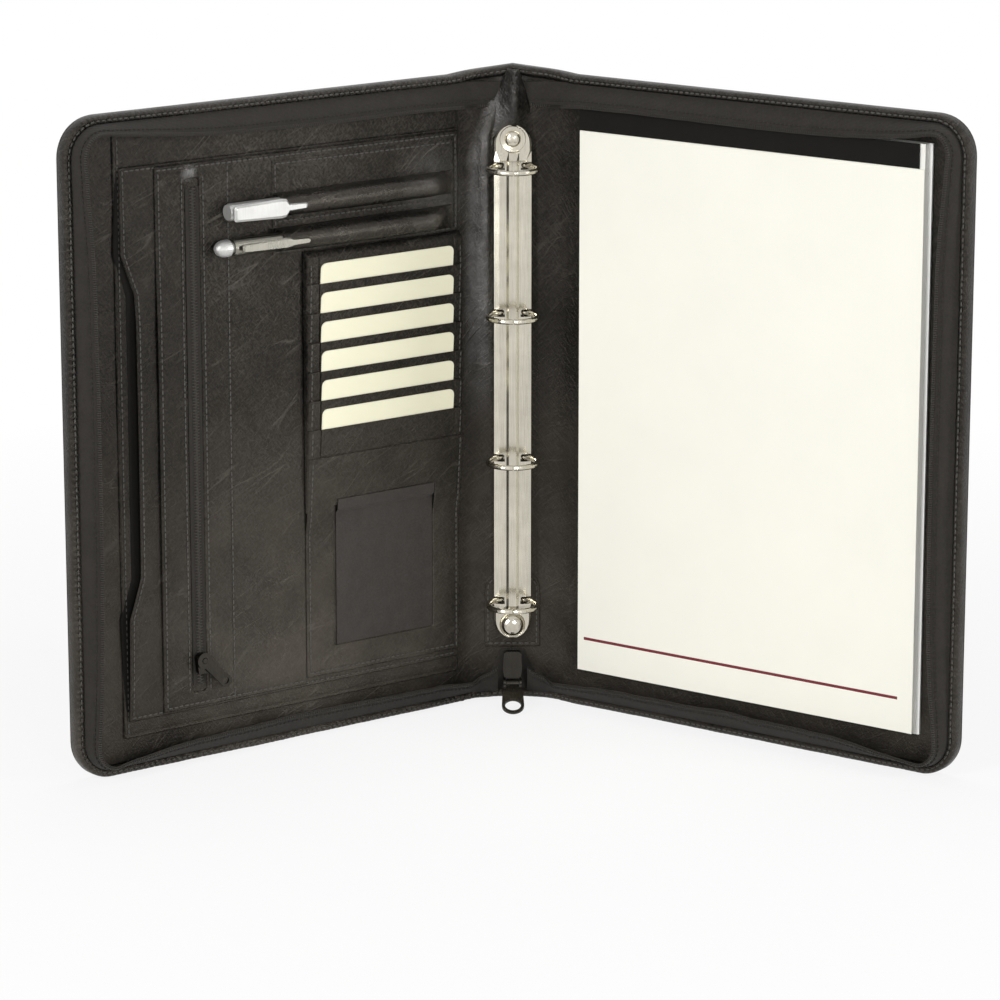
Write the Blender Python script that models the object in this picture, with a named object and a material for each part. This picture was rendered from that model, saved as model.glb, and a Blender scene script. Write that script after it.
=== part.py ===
"""Leather zip-around portfolio with a four-ring mechanism, standing open like a book.

Metres, +Z up. The spine stands behind at the origin, and both covers open towards -Y. Each cover is
modelled flat, in the frame of its own hinge: u runs from the hinge to the fore-edge, lift rises off the
cover towards the reader, and z is up.
"""

import math

import bmesh
import bpy
from mathutils import Matrix, Vector

# Case: driving dimensions
COVER_WIDTH = 0.2535
COVER_HEIGHT = 0.347
SPINE_WIDTH = 0.051
OPEN_ANGLE = math.radians(36)
CORNER_RADIUS = 0.021
CLEARANCE = 0.0003

# Case: layers and margins
LEATHER = 0.0012
BOARD = 0.0015
LINING = 0.0007
CREASE = 0.006
EDGE_WIDTH = 0.005
EDGE_HEIGHT = 0.0065
RIM_START = 0.016

# Main zip
TAPE_WIDTH = 0.0105
TAPE = 0.0008
TAPE_SLOPE = math.radians(45)
COIL_WIDTH = 0.0024
COIL = 0.0014
ZIP_END_FOOT = 0.030
ZIP_END_HEAD = 0.013
ZIP_END_HEIGHT = 0.026
ZIP_END = 0.0036
SLIDER_WIDTH = 0.0105
SLIDER_LENGTH = 0.019
SLIDER = 0.0042
SLIDER_EAR = 0.0012
PULL_LENGTH = 0.024
PULL_RING = 0.0061
PULL_HOLE = 0.0044
PULL_NECK = 0.0068
PULL = 0.0014
KNUCKLE = 0.0017
KNUCKLE_PIN = 0.0007

# Ring mechanism
RING_COUNT = 4
RING_END_MARGIN = 0.0535
RING_CENTRE_RISE = 0.0045
RING_RADIUS = 0.0148
RING_WIRE = 0.0029
RING_LEG = 0.006
PLATE_WIDTH = 0.020
PLATE_OVERHANG = 0.0215
PLATE_HEIGHT = 0.0066
PLATE_WALL = 0.0008
PLATE_RIDGE = 0.0026
PLATE_END = 0.0185
BLADE = 0.001
BLADE_OVERHANG = 0.0025
RIVET_TOP = 0.0044
RIVET_BOTTOM = 0.0061
RIVET_COLLAR = 0.0070
RIVET_RIM = 0.0007
RIVET_INSET = 0.0072
PATCH_WIDTH = 0.0305
PATCH_HEIGHT = 0.042

# Organiser on the left cover
POCKET_LEATHER = 0.0007
SEAM = 0.009
BACKING_FORE_MARGIN = 0.030
BACKING_TOP_MARGIN = 0.011
BACKING_BOTTOM = 0.018
SIDE_FORE_MARGIN = 0.0325
SIDE_TOP_MARGIN = 0.028
SIDE_BOTTOM = 0.027
SCOOP_DEPTH = 0.0075
SCOOP_TOP_MARGIN = 0.045
SCOOP_BOTTOM_MARGIN = 0.056
SCOOP_SLANT = 0.021
FRONT_FORE_MARGIN = 0.0535
FRONT_INSET = 0.0015
POCKET_ZIP_MARGIN = 0.0225
POCKET_ZIP_SLIT = 0.009
POCKET_ZIP_END = 0.008
POCKET_COIL_WIDTH = 0.003
POCKET_TAPE = 0.0004
POCKET_COIL = 0.0008
POCKET_SLIDER_WIDTH = 0.0082
POCKET_SLIDER_LENGTH = 0.011
POCKET_SLIDER = 0.0026
POCKET_SLIDER_RISE = 0.016
POCKET_POST = 0.0014
POCKET_POST_HEIGHT = 0.0018
POCKET_PULL_HEAD = 0.0044
POCKET_PULL_LENGTH = 0.022
POCKET_PULL_END = 0.0029
POCKET_PULL_HOLE = 0.0018
POCKET_PULL_ANGLE = math.radians(45)

# Cards
CARD_WIDTH = 0.0856
CARD_HEIGHT = 0.054
CARD = 0.0006
CARD_COUNT = 6
CARD_PITCH = 0.01566
CARD_SHOWING = 0.0108
CARD_PLAY = 0.00015
CARD_CORNER = 0.0032
CARD_STRIP = 0.00035
CARD_SIDE_MARGIN = 0.0065
CARD_TOP_MARGIN = 0.017
CARD_FLOOR = 0.0022

# Window panel under the cards
WINDOW_SIDE_MARGIN = 0.0176
WINDOW_BOTTOM_MARGIN = 0.0155
WINDOW_TOP_MARGIN = 0.0245
FRAME_LEATHER = 0.0008
FRAME_INSET = 0.0045
FRAME_OVERLAP = 0.030
WINDOW_SHEET = 0.0003

# Pens and their loops
PEN_RADIUS = 0.0047
PEN_LENGTH = 0.137
PEN_TIP = 0.020
PEN_PLAY = 0.0004
UPPER_PEN_DROP = 0.0285
PEN_SPACING = 0.0185
PEN_SPINE_END = 0.023
PEN_STAGGER = 0.008
LOOP_WALL = 0.0008
LOOP_FLANGE = 0.0024
LOOP_SPINE_END = 0.014
PEN_SHOWING = 0.032
UPPER_CLIP_LENGTH = 0.0455
LOWER_CLIP_LENGTH = 0.0420
UPPER_CLIP_WIDTH = 0.0102
LOWER_CLIP_WIDTH = 0.0056
CLIP_TONGUE = 0.0036
CLIP = 0.0014
CLIP_FOOT = 0.006
BUTTON_RADIUS = 0.0045
BUTTON_LENGTH = 0.0088
BUTTON_STEM = 0.0028
BUTTON_STEM_LENGTH = 0.006
BUTTON_TRAVEL = 0.0015

# Writing pad on the right cover
PAD_BINDING = 0.0130
PAD_SPINE_MARGIN = 0.019
PAD_FORE_MARGIN = 0.0245
PAD_TOP_MARGIN = 0.0154
PAD_BOTTOM = 0.0216
PAD_BOARD = 0.0012
PAD_BOARD_OVERHANG = 0.002
PAD_SHEETS = 0.0035
PAD_TOP_SHEET = 0.0003
BINDING_TAPE = 0.0008
BINDING_SHORT = 0.003

# Fineness of round forms
ARC_STEPS = 6
ROUND_SIDES = 24
WIRE_SIDES = 12
WIRE_STEPS = 18

# Lifts of the layers off the plane of the hinges
BOARD_LIFT = LEATHER / 2 + CLEARANCE
LINING_LIFT = BOARD_LIFT + BOARD + CLEARANCE
INSIDE_LIFT = LINING_LIFT + LINING + CLEARANCE
SIDE_LIFT = INSIDE_LIFT + POCKET_LEATHER + CLEARANCE
FRONT_LIFT = SIDE_LIFT + POCKET_LEATHER + CLEARANCE
FRONT_TOP = FRONT_LIFT + POCKET_LEATHER
PEN_LIFT = FRONT_TOP + 3 * CLEARANCE + PEN_RADIUS

# Places that several pieces share
RING_SPAN = COVER_HEIGHT - 2 * RING_END_MARGIN
RING_PITCH = RING_SPAN / (RING_COUNT - 1)
RING_CENTRE_Z = COVER_HEIGHT / 2 + RING_CENTRE_RISE
PLATE_LENGTH = RING_SPAN + 2 * PLATE_OVERHANG
BLADE_LENGTH = RING_SPAN + 2 * BLADE_OVERHANG
CARD_PANEL_WIDTH = CARD_WIDTH + 2 * (CARD_PLAY + CARD_SIDE_MARGIN)
CARD_PANEL_FORE = SEAM + CARD_PANEL_WIDTH
CARD_SLOT = CARD + 2 * CARD_PLAY
CARD_TILT = math.asin((CARD_SLOT + CARD_STRIP) / CARD_PITCH)
CARD_HIDDEN = CARD_HEIGHT - CARD_SHOWING
LOOP_OUTER = PEN_RADIUS + PEN_PLAY + LOOP_WALL
UPPER_PEN_Z = COVER_HEIGHT - SIDE_TOP_MARGIN - UPPER_PEN_DROP
LOWER_PEN_Z = UPPER_PEN_Z - PEN_SPACING
CARD_PANEL_TOP = LOWER_PEN_Z - LOOP_OUTER - LOOP_FLANGE - 2 * CLEARANCE
FIRST_MOUTH_Z = CARD_PANEL_TOP - CARD_TOP_MARGIN
LAST_MOUTH_Z = FIRST_MOUTH_Z - (CARD_COUNT - 1) * CARD_PITCH
CARD_PANEL_BOTTOM = LAST_MOUTH_Z - CARD_HIDDEN * math.cos(CARD_TILT) - CARD_FLOOR
MOUTH_LIFT = FRONT_LIFT + CARD_FLOOR / 4 + CARD_HIDDEN * math.sin(CARD_TILT)
FRONT_FORE = COVER_WIDTH - FRONT_FORE_MARGIN
FRONT_SEAM_TOP = COVER_HEIGHT - SIDE_TOP_MARGIN - FRONT_INSET
FRONT_BOTTOM = SIDE_BOTTOM + FRONT_INSET
FRAME_BOTTOM = SIDE_BOTTOM + FRAME_INSET
LOOP_FORE = PEN_SPINE_END + PEN_LENGTH - PEN_SHOWING
POCKET_ZIP_U = FRONT_FORE - POCKET_ZIP_MARGIN
PLATE_LIFT = INSIDE_LIFT + POCKET_LEATHER + CLEARANCE
RING_BEND = RING_RADIUS - RING_WIRE / 2
RING_CENTRE_LIFT = PLATE_LIFT + PLATE_HEIGHT / 2 + math.sqrt(RING_BEND**2 - RING_LEG**2)
BLADE_LIFT = PLATE_LIFT + PLATE_WALL
BLADE_AXIS_X = PLATE_WIDTH / 2 - PLATE_WALL - CLEARANCE
SLIDER_FRONT = INSIDE_LIFT + ZIP_END + CLEARANCE + SLIDER
KNUCKLE_LIFT = SLIDER_FRONT + CLEARANCE + KNUCKLE
KNUCKLE_Z = PULL_LENGTH / 2
SLIDER_FOOT = KNUCKLE_Z - KNUCKLE
PAD_WIDTH = COVER_WIDTH - PAD_SPINE_MARGIN - PAD_FORE_MARGIN
PAD_TOP = COVER_HEIGHT - PAD_TOP_MARGIN
SHEET_HEIGHT = PAD_TOP - PAD_BINDING - PAD_BOTTOM
PAD_SHEETS_LIFT = INSIDE_LIFT + PAD_BOARD + CLEARANCE
PAD_TOP_LIFT = PAD_SHEETS_LIFT + PAD_SHEETS + CLEARANCE

LEFT = -1
RIGHT = 1


def clear_scene():
    for obj in list(bpy.data.objects):
        bpy.data.objects.remove(obj, do_unlink=True)


def make_material(name, colour, roughness, metallic=0.0):
    material = bpy.data.materials.new(name)
    material.use_nodes = True
    shader = material.node_tree.nodes["Principled BSDF"]
    shader.inputs["Base Color"].default_value = (*colour, 1.0)
    shader.inputs["Roughness"].default_value = roughness
    shader.inputs["Metallic"].default_value = metallic
    return material


def add_empty(name, location, turn=0.0, parent=None):
    empty = bpy.data.objects.new(name, None)
    empty.location = location
    empty.rotation_euler = (0.0, 0.0, turn)
    empty.parent = parent
    bpy.context.scene.collection.objects.link(empty)
    return empty


def add_object(name, bm, material, parent=None, origin=(0.0, 0.0, 0.0)):
    """Object made from a mesh in its parent's frame, with its own origin at the given point."""
    bmesh.ops.recalc_face_normals(bm, faces=bm.faces)
    bmesh.ops.translate(bm, vec=-Vector(origin), verts=bm.verts)
    mesh = bpy.data.meshes.new(name)
    bm.to_mesh(mesh)
    bm.free()
    mesh.shade_smooth()
    mesh.set_sharp_from_angle(angle=math.radians(30))
    obj = bpy.data.objects.new(name, mesh)
    obj.location = origin
    obj.parent = parent
    bpy.context.scene.collection.objects.link(obj)
    if material:
        mesh.materials.append(material)
    return obj


def combine(obj, operation, bm, name):
    """Boolean of an object with a helper mesh, given in the same parent's frame."""
    helper = add_object(name, bm, None, obj.parent)
    helper.hide_render = True
    helper.display_type = "WIRE"
    modifier = obj.modifiers.new(name, "BOOLEAN")
    modifier.operation = operation
    modifier.object = helper


def rounded(corners):
    """Closed outline through (a, b, radius) corners, with each radius turned into an arc."""
    points = []
    for index, (a, b, radius) in enumerate(corners):
        corner = Vector((a, b))
        if radius <= 0:
            points.append(corner)
            continue
        to_last = (Vector(corners[index - 1][:2]) - corner).normalized()
        to_next = (Vector(corners[(index + 1) % len(corners)][:2]) - corner).normalized()
        half = to_last.angle(to_next) / 2
        centre = corner + (to_last + to_next).normalized() * radius / math.sin(half)
        first = corner + to_last * radius / math.tan(half) - centre
        last = corner + to_next * radius / math.tan(half) - centre
        sweep = math.atan2(first.cross(last), first.dot(last))
        for step in range(ARC_STEPS + 1):
            points.append(centre + Matrix.Rotation(sweep * step / ARC_STEPS, 2) @ first)
    return points


def rectangle(low_a, high_a, low_b, high_b, radius=0.0):
    return rounded(
        [(low_a, low_b, radius), (high_a, low_b, radius), (high_a, high_b, radius), (low_a, high_b, radius)]
    )


def loft(stations):
    """Closed solid through rings of points, capped at both ends."""
    bm = bmesh.new()
    rings = [[bm.verts.new(point) for point in ring] for ring in stations]
    for near, far in zip(rings, rings[1:]):
        for index in range(len(near)):
            following = (index + 1) % len(near)
            bm.faces.new((near[index], near[following], far[following], far[index]))
    bm.faces.new(rings[0])
    bm.faces.new(rings[-1])
    return bm


def slab(outline, lift, thickness):
    """Flat solid from an outline in x and z, rising from its lift towards the reader."""
    return loft([[(x, -depth, z) for x, z in outline] for depth in (lift, lift + thickness)])


def extrusion_along_x(outline, low, high):
    """Solid with the same section, in lift and z, from low to high along x."""
    return loft([[(x, -lift, z) for lift, z in outline] for x in (low, high)])


def turned(profile, centre, axis):
    """Round solid from (distance along the axis, radius) pairs."""
    axis = Vector(axis).normalized()
    across = axis.orthogonal().normalized()
    third = axis.cross(across)
    stations = []
    for along, radius in profile:
        middle = Vector(centre) + axis * along
        angles = [2 * math.pi * side / ROUND_SIDES for side in range(ROUND_SIDES)]
        stations.append([middle + radius * (across * math.cos(a) + third * math.sin(a)) for a in angles])
    return loft(stations)


def mirrored(outline, side):
    return [(side * u, z) for u, z in outline]


def cover_outline(start, inset, side):
    """Outline of a cover, set in from its three free edges, with round outer corners."""
    fore = COVER_WIDTH - inset
    top = COVER_HEIGHT - inset
    radius = CORNER_RADIUS - inset
    corners = [(start, inset, 0), (fore, inset, radius), (fore, top, radius), (start, top, 0)]
    return mirrored(rounded(corners), side)


def rim_path():
    """Points and inward normals along a cover's free edges, from the spine round to the spine."""
    across = COVER_WIDTH - CORNER_RADIUS
    path = [(RIM_START, COVER_HEIGHT, 0.0, -1.0)]
    for centre_z, first in ((COVER_HEIGHT - CORNER_RADIUS, math.pi / 2), (CORNER_RADIUS, 0.0)):
        for step in range(ARC_STEPS + 1):
            angle = first - math.pi / 2 * step / ARC_STEPS
            normal = Vector((math.cos(angle), math.sin(angle)))
            point = Vector((across, centre_z)) + CORNER_RADIUS * normal
            path.append((point.x, point.y, -normal.x, -normal.y))
    path.append((RIM_START, 0.0, 0.0, 1.0))
    return path


def rim(profile, side):
    """Solid of one section, in distance from the edge and lift, run along a cover's free edges."""
    return loft(
        [[(side * (u + nu * d), -lift, z + nz * d) for d, lift in profile] for u, z, nu, nz in rim_path()]
    )


def edge_profile():
    foot = BOARD_LIFT
    top = foot + EDGE_HEIGHT
    radius = EDGE_WIDTH * 0.45
    return rounded([(0, foot, 0), (0, top, radius), (EDGE_WIDTH, top, radius), (EDGE_WIDTH, foot, 0)])


def tape_frame():
    """Foot of the zip tape at the leather edge, its direction and its upper side."""
    along = Vector((math.cos(TAPE_SLOPE), math.sin(TAPE_SLOPE)))
    upper = Vector((-along.y, along.x))
    foot = Vector((EDGE_WIDTH + CLEARANCE - TAPE * upper.x, BOARD_LIFT + EDGE_HEIGHT * 0.6))
    return foot, along, upper


def tape_profile():
    foot, along, upper = tape_frame()
    end = foot + along * TAPE_WIDTH
    return [foot, end, end + upper * TAPE, foot + upper * TAPE]


def coil_profile():
    foot, along, upper = tape_frame()
    inner = foot + along * TAPE_WIDTH + upper * (TAPE + CLEARANCE)
    outer = inner - along * COIL_WIDTH
    shoulder = along * COIL_WIDTH / 4
    return [outer, inner, inner + upper * COIL * 0.6, inner - shoulder + upper * COIL,
            outer + shoulder + upper * COIL, outer + upper * COIL * 0.6]


def make_cover(side, word, hinge, paint):
    """Leather, board, lining, turned edge and half of the main zip of one cover."""
    inset = EDGE_WIDTH + CLEARANCE
    start = LEATHER / 2 + CLEARANCE
    leather = slab(cover_outline(start, 0, side), -LEATHER / 2, LEATHER)
    add_object(f"{word}_cover_leather", leather, paint["leather"], hinge)
    board = slab(cover_outline(CREASE, inset, side), BOARD_LIFT, BOARD)
    add_object(f"{word}_cover_board", board, paint["board"], hinge)
    lining = slab(cover_outline(CREASE, inset, side), LINING_LIFT, LINING)
    add_object(f"{word}_lining", lining, paint["lining"], hinge)
    add_object(f"{word}_zip_edge", rim(edge_profile(), side), paint["leather"], hinge)
    add_object(f"{word}_zip_tape", rim(tape_profile(), side), paint["tape"], hinge)
    add_object(f"{word}_zip_coil", rim(coil_profile(), side), paint["coil"], hinge)


def make_spine(paint):
    """Leather with round edges on the hinge lines, its board and its lining."""
    half = SPINE_WIDTH / 2
    section = []
    for side, first in ((RIGHT, -math.pi / 2), (LEFT, math.pi / 2)):
        for step in range(ARC_STEPS + 1):
            angle = first + math.pi * step / ARC_STEPS
            section.append((side * half + LEATHER / 2 * math.cos(angle), LEATHER / 2 * math.sin(angle)))
    leather = loft([[(x, y, z) for x, y in section] for z in (0, COVER_HEIGHT)])
    add_object("spine_leather", leather, paint["leather"])
    inner = half - CREASE
    inset = EDGE_WIDTH + CLEARANCE
    outline = rectangle(-inner, inner, inset, COVER_HEIGHT - inset)
    add_object("spine_board", slab(outline, BOARD_LIFT, BOARD), paint["board"])
    add_object("spine_lining", slab(outline, LINING_LIFT, LINING), paint["lining"])


def plate_section(half_width, height, flat):
    """Arched section with a ridge, or a flat one with a bevelled edge, outer side then inner side."""
    ridge = PLATE_RIDGE * half_width / (PLATE_WIDTH / 2)
    arched = ((1.0, 0.60), (0.72, 0.76), (1.3, 0.86))
    level = ((1.0, 0.75), (0.9, 1.0), (1.3, 1.0))

    def arch(wall):
        reach = half_width - wall
        rise = height - wall
        side, slope, foot = level if flat else arched
        half = [(reach, 0.0), (reach * side[0], rise * side[1]), (reach * slope[0], rise * slope[1])]
        half += [(ridge * foot[0], rise * foot[1]), (ridge * 0.8, rise)]
        return [(-x, lift) for x, lift in half] + half[::-1]

    return arch(0.0) + arch(PLATE_WALL)[::-1]


def plate_stations():
    """Distance from the middle, half width, height and flatness along the plate, with its round ends."""
    half = PLATE_LENGTH / 2
    radius = PLATE_WIDTH / 2
    low = PLATE_HEIGHT * 0.45
    ends = []
    turn = math.pi / 2 / ARC_STEPS
    for step in range(1, ARC_STEPS + 1):
        inset = radius * (math.cos(turn) - math.cos(turn * step))
        ends.append((half - inset, radius * math.sin(turn * step), low, True))
    ends.append((half - PLATE_END * 0.75, radius, low, True))
    ends.append((half - PLATE_END, radius, PLATE_HEIGHT, False))
    return [(-z, *rest) for z, *rest in ends] + ends[::-1]


def ring_heights():
    middle = (RING_COUNT - 1) / 2
    return [RING_CENTRE_Z + (middle - index) * RING_PITCH for index in range(RING_COUNT)]


def make_ring_plate(paint):
    stations = []
    for z, *sizes in plate_stations():
        section = plate_section(*sizes)
        stations.append([(x, -PLATE_LIFT - rise, RING_CENTRE_Z + z) for x, rise in section])
    plate = add_object("ring_plate", loft(stations), paint["nickel"])
    slot_in = RING_LEG - RING_WIRE / 2 - CLEARANCE
    slot_out = PLATE_WIDTH / 2 + CLEARANCE
    slot_half = RING_WIRE / 2 + 2 * CLEARANCE
    for number, z in enumerate(ring_heights(), 1):
        for side, word in ((LEFT, "left"), (RIGHT, "right")):
            outline = mirrored(rectangle(slot_in, slot_out, z - slot_half, z + slot_half), side)
            cutter = slab(outline, PLATE_LIFT + PLATE_HEIGHT * 0.2, PLATE_HEIGHT)
            combine(plate, "DIFFERENCE", cutter, f"plate_slot_{word}_{number}")
    half = PLATE_LENGTH / 2 - RIVET_INSET
    seat = -PLATE_LIFT - PLATE_HEIGHT * 0.45 - CLEARANCE
    for word, z, radius in (("top", half, RIVET_TOP), ("bottom", -half, RIVET_BOTTOM)):
        profile = [(0.0, RIVET_COLLAR), (RIVET_RIM * 0.6, RIVET_COLLAR), (RIVET_RIM, RIVET_COLLAR * 0.97)]
        for angle in (0, 0.25, 0.5, 0.75, 1.0, 1.25, 1.45):
            along = RIVET_RIM / 2 + radius * 0.62 * math.sin(angle)
            profile.append((along, radius * math.cos(angle)))
        rivet = turned(profile, (0, seat, RING_CENTRE_Z + z), (0, -1, 0))
        add_object(f"ring_rivet_{word}", rivet, paint["nickel"])


def ring_half_path(side, z):
    """Middle line of one ring half: a straight leg out of the plate, then an arc to the tip at the middle."""
    foot_lift = BLADE_LIFT + BLADE + CLEARANCE
    first = math.asin(RING_LEG / RING_BEND)
    tip = math.asin(CLEARANCE / RING_BEND)
    path = [Vector((side * RING_LEG, -foot_lift, z))]
    for step in range(WIRE_STEPS + 1):
        angle = first + (math.pi - tip - first) * step / WIRE_STEPS
        lift = RING_CENTRE_LIFT - RING_BEND * math.cos(angle)
        path.append(Vector((side * RING_BEND * math.sin(angle), -lift, z)))
    return path


def wire(path, radius):
    """Round wire along a path that stays at one height."""
    stations = []
    up = Vector((0, 0, 1))
    for index, point in enumerate(path):
        ahead = path[min(index + 1, len(path) - 1)] - path[max(index - 1, 0)]
        across = ahead.cross(up).normalized()
        angles = [2 * math.pi * side / WIRE_SIDES for side in range(WIRE_SIDES)]
        stations.append([point + radius * (across * math.cos(a) + up * math.sin(a)) for a in angles])
    return loft(stations)


def make_rings(paint):
    """Two blades under the plate, each turning on its outer edge, with their ring halves."""
    for side, word in ((LEFT, "left"), (RIGHT, "right")):
        axis = add_empty(f"ring_axis_{word}", (side * BLADE_AXIS_X, -BLADE_LIFT - BLADE / 2, RING_CENTRE_Z))
        outline = rectangle(
            CLEARANCE, BLADE_AXIS_X, RING_CENTRE_Z - BLADE_LENGTH / 2, RING_CENTRE_Z + BLADE_LENGTH / 2
        )
        pieces = [(f"ring_blade_{word}", slab(mirrored(outline, side), BLADE_LIFT, BLADE))]
        for number, z in enumerate(ring_heights(), 1):
            pieces.append((f"ring_{word}_{number}", wire(ring_half_path(side, z), RING_WIRE / 2)))
        for name, bm in pieces:
            bmesh.ops.translate(bm, vec=-axis.location, verts=bm.verts)
            add_object(name, bm, paint["nickel"], axis)


def make_ring_patch(paint):
    half = PATCH_WIDTH / 2
    top = RING_CENTRE_Z - PLATE_LENGTH / 2 + PATCH_HEIGHT * 0.85
    low = top - PATCH_HEIGHT
    arch = half * 0.6
    outline = rounded([(-half, low, 0), (half, low, 0), (half, top, arch), (-half, top, arch)])
    add_object("ring_patch", slab(outline, INSIDE_LIFT, POCKET_LEATHER), paint["lining"])


def make_zip_ends(paint):
    """Where the zip begins and ends on the spine: a tongue at the top, a gusset at the bottom."""
    foot = EDGE_WIDTH + CLEARANCE
    outline = rounded(
        [(-ZIP_END_FOOT / 2, foot, 0), (ZIP_END_FOOT / 2, foot, 0),
         (ZIP_END_HEAD / 2, foot + ZIP_END_HEIGHT * 0.85, ZIP_END_HEAD / 4),
         (-ZIP_END_HEAD / 2, foot + ZIP_END_HEIGHT * 0.85, ZIP_END_HEAD / 4)]
    )
    add_object("zip_end_bottom", slab(outline, INSIDE_LIFT, ZIP_END), paint["tape"])
    top = COVER_HEIGHT - EDGE_WIDTH / 2
    low = top - ZIP_END_HEIGHT * 0.7
    half = ZIP_END_HEAD * 0.7
    radius = half * 0.5
    outline = rounded(
        [(-half, low, radius), (half, low, radius), (half * 0.8, top, radius), (-half * 0.8, top, radius)]
    )
    add_object("zip_end_top", slab(outline, INSIDE_LIFT, ZIP_END), paint["lining"])


def pull_outline(length, neck, ring):
    """Flat pull from its knuckle at the origin, along -z, flaring to a round ring."""
    centre = ring - length
    left = [(-neck / 2, 0.0), (-neck / 2, -0.15 * length), (-ring * 0.93, -0.34 * length)]
    points = list(left)
    steps = 3 * ARC_STEPS
    for step in range(steps + 1):
        angle = math.pi + math.pi * step / steps
        points.append((ring * math.cos(angle), centre + ring * math.sin(angle)))
    return points + [(-x, z) for x, z in left[::-1]]


def make_main_slider(paint):
    """Slider on the bottom gusset, with two ears and a pin, and the pull that swings on the pin."""
    top = SLIDER_FOOT + SLIDER_LENGTH
    middle = SLIDER_FOOT + SLIDER_LENGTH / 2
    half = SLIDER_WIDTH / 2
    outline = rounded(
        [(-half * 0.75, SLIDER_FOOT, half * 0.3), (half * 0.75, SLIDER_FOOT, half * 0.3),
         (half, middle, half * 0.5), (half * 0.9, top, half * 0.4), (-half * 0.9, top, half * 0.4),
         (-half, middle, half * 0.5)]
    )
    slider = add_object("main_zip_slider", slab(outline, SLIDER_FRONT - SLIDER, SLIDER), paint["slider"])
    inner = PULL_NECK / 2 + CLEARANCE
    root = SLIDER_FRONT - SLIDER / 2
    nose = KNUCKLE_LIFT + KNUCKLE
    ear = rounded(
        [(root, KNUCKLE_Z - KNUCKLE, 0), (nose, KNUCKLE_Z - KNUCKLE, KNUCKLE),
         (nose, KNUCKLE_Z + KNUCKLE, KNUCKLE), (root, KNUCKLE_Z + 2 * KNUCKLE, 0)]
    )
    for side, word in ((LEFT, "left"), (RIGHT, "right")):
        low, high = sorted((side * inner, side * (inner + SLIDER_EAR)))
        combine(slider, "UNION", extrusion_along_x(ear, low, high), f"slider_ear_{word}")
    reach = inner + SLIDER_EAR / 2
    pin = turned([(-reach, KNUCKLE_PIN), (reach, KNUCKLE_PIN)], (0, -KNUCKLE_LIFT, KNUCKLE_Z), (1, 0, 0))
    combine(slider, "UNION", pin, "slider_pin")
    make_main_pull(paint)


def make_main_pull(paint):
    """Ring pull leaning forward from its knuckle until the ring is just off the table."""
    lean = math.acos((KNUCKLE_Z - PULL) / PULL_LENGTH)
    axis = add_empty("main_pull_axis", (0, -KNUCKLE_LIFT, KNUCKLE_Z))
    axis.rotation_euler = (-lean, 0, 0)
    half = PULL_NECK / 2
    pull = add_object("main_zip_pull", slab(pull_outline(PULL_LENGTH, PULL_NECK, PULL_RING), -PULL / 2, PULL),
                      paint["slider"], axis)
    knuckle = turned([(-half, KNUCKLE), (half, KNUCKLE)], (0, 0, 0), (1, 0, 0))
    combine(pull, "UNION", knuckle, "pull_knuckle")
    bore = KNUCKLE_PIN + CLEARANCE
    bore_mesh = turned([(-2 * half, bore), (2 * half, bore)], (0, 0, 0), (1, 0, 0))
    combine(pull, "DIFFERENCE", bore_mesh, "pull_bore")
    hole = turned([(-2 * PULL, PULL_HOLE), (2 * PULL, PULL_HOLE)], (0, 0, PULL_RING - PULL_LENGTH), (0, 1, 0))
    combine(pull, "DIFFERENCE", hole, "pull_hole")


def make_organiser(hinge, paint):
    """Backing, scooped side pocket, and the front panel with its zip slit."""
    fore = COVER_WIDTH - BACKING_FORE_MARGIN
    top = COVER_HEIGHT - BACKING_TOP_MARGIN
    outline = rectangle(SEAM - 2 * CLEARANCE, fore, BACKING_BOTTOM, top, FRONT_INSET)
    backing = slab(mirrored(outline, LEFT), INSIDE_LIFT, POCKET_LEATHER)
    add_object("organiser_backing", backing, paint["lining"], hinge)
    fore = COVER_WIDTH - SIDE_FORE_MARGIN
    top = COVER_HEIGHT - SIDE_TOP_MARGIN
    scoop_top = top - SCOOP_TOP_MARGIN
    scoop_low = SIDE_BOTTOM + SCOOP_BOTTOM_MARGIN
    deep = fore - SCOOP_DEPTH
    outline = rounded(
        [(SEAM, SIDE_BOTTOM, 0), (fore, SIDE_BOTTOM, 0), (fore, scoop_low, SCOOP_DEPTH),
         (deep, scoop_low + SCOOP_SLANT, SCOOP_DEPTH), (deep, scoop_top - SCOOP_SLANT, SCOOP_DEPTH),
         (fore, scoop_top, SCOOP_DEPTH), (fore, top, 0), (SEAM, top, 0)]
    )
    pocket = slab(mirrored(outline, LEFT), SIDE_LIFT, POCKET_LEATHER)
    add_object("side_pocket", pocket, paint["lining"], hinge)
    step_u = CARD_PANEL_FORE + CLEARANCE
    step_z = CARD_PANEL_TOP + CLEARANCE
    outline = [(step_u, FRONT_BOTTOM), (FRONT_FORE, FRONT_BOTTOM), (FRONT_FORE, FRONT_SEAM_TOP),
               (SEAM, FRONT_SEAM_TOP), (SEAM, step_z), (step_u, step_z)]
    front = add_object(
        "organiser_front", slab(mirrored(outline, LEFT), FRONT_LIFT, POCKET_LEATHER), paint["lining"], hinge
    )
    half = POCKET_ZIP_SLIT / 2
    outline = rectangle(POCKET_ZIP_U - half, POCKET_ZIP_U + half, *pocket_zip_span(), half / 2)
    slit = slab(mirrored(outline, LEFT), FRONT_LIFT - POCKET_LEATHER, 3 * POCKET_LEATHER)
    combine(front, "DIFFERENCE", slit, "pocket_zip_slit")


def pocket_zip_span():
    return FRONT_BOTTOM + POCKET_ZIP_END, FRONT_SEAM_TOP - POCKET_ZIP_END


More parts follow.
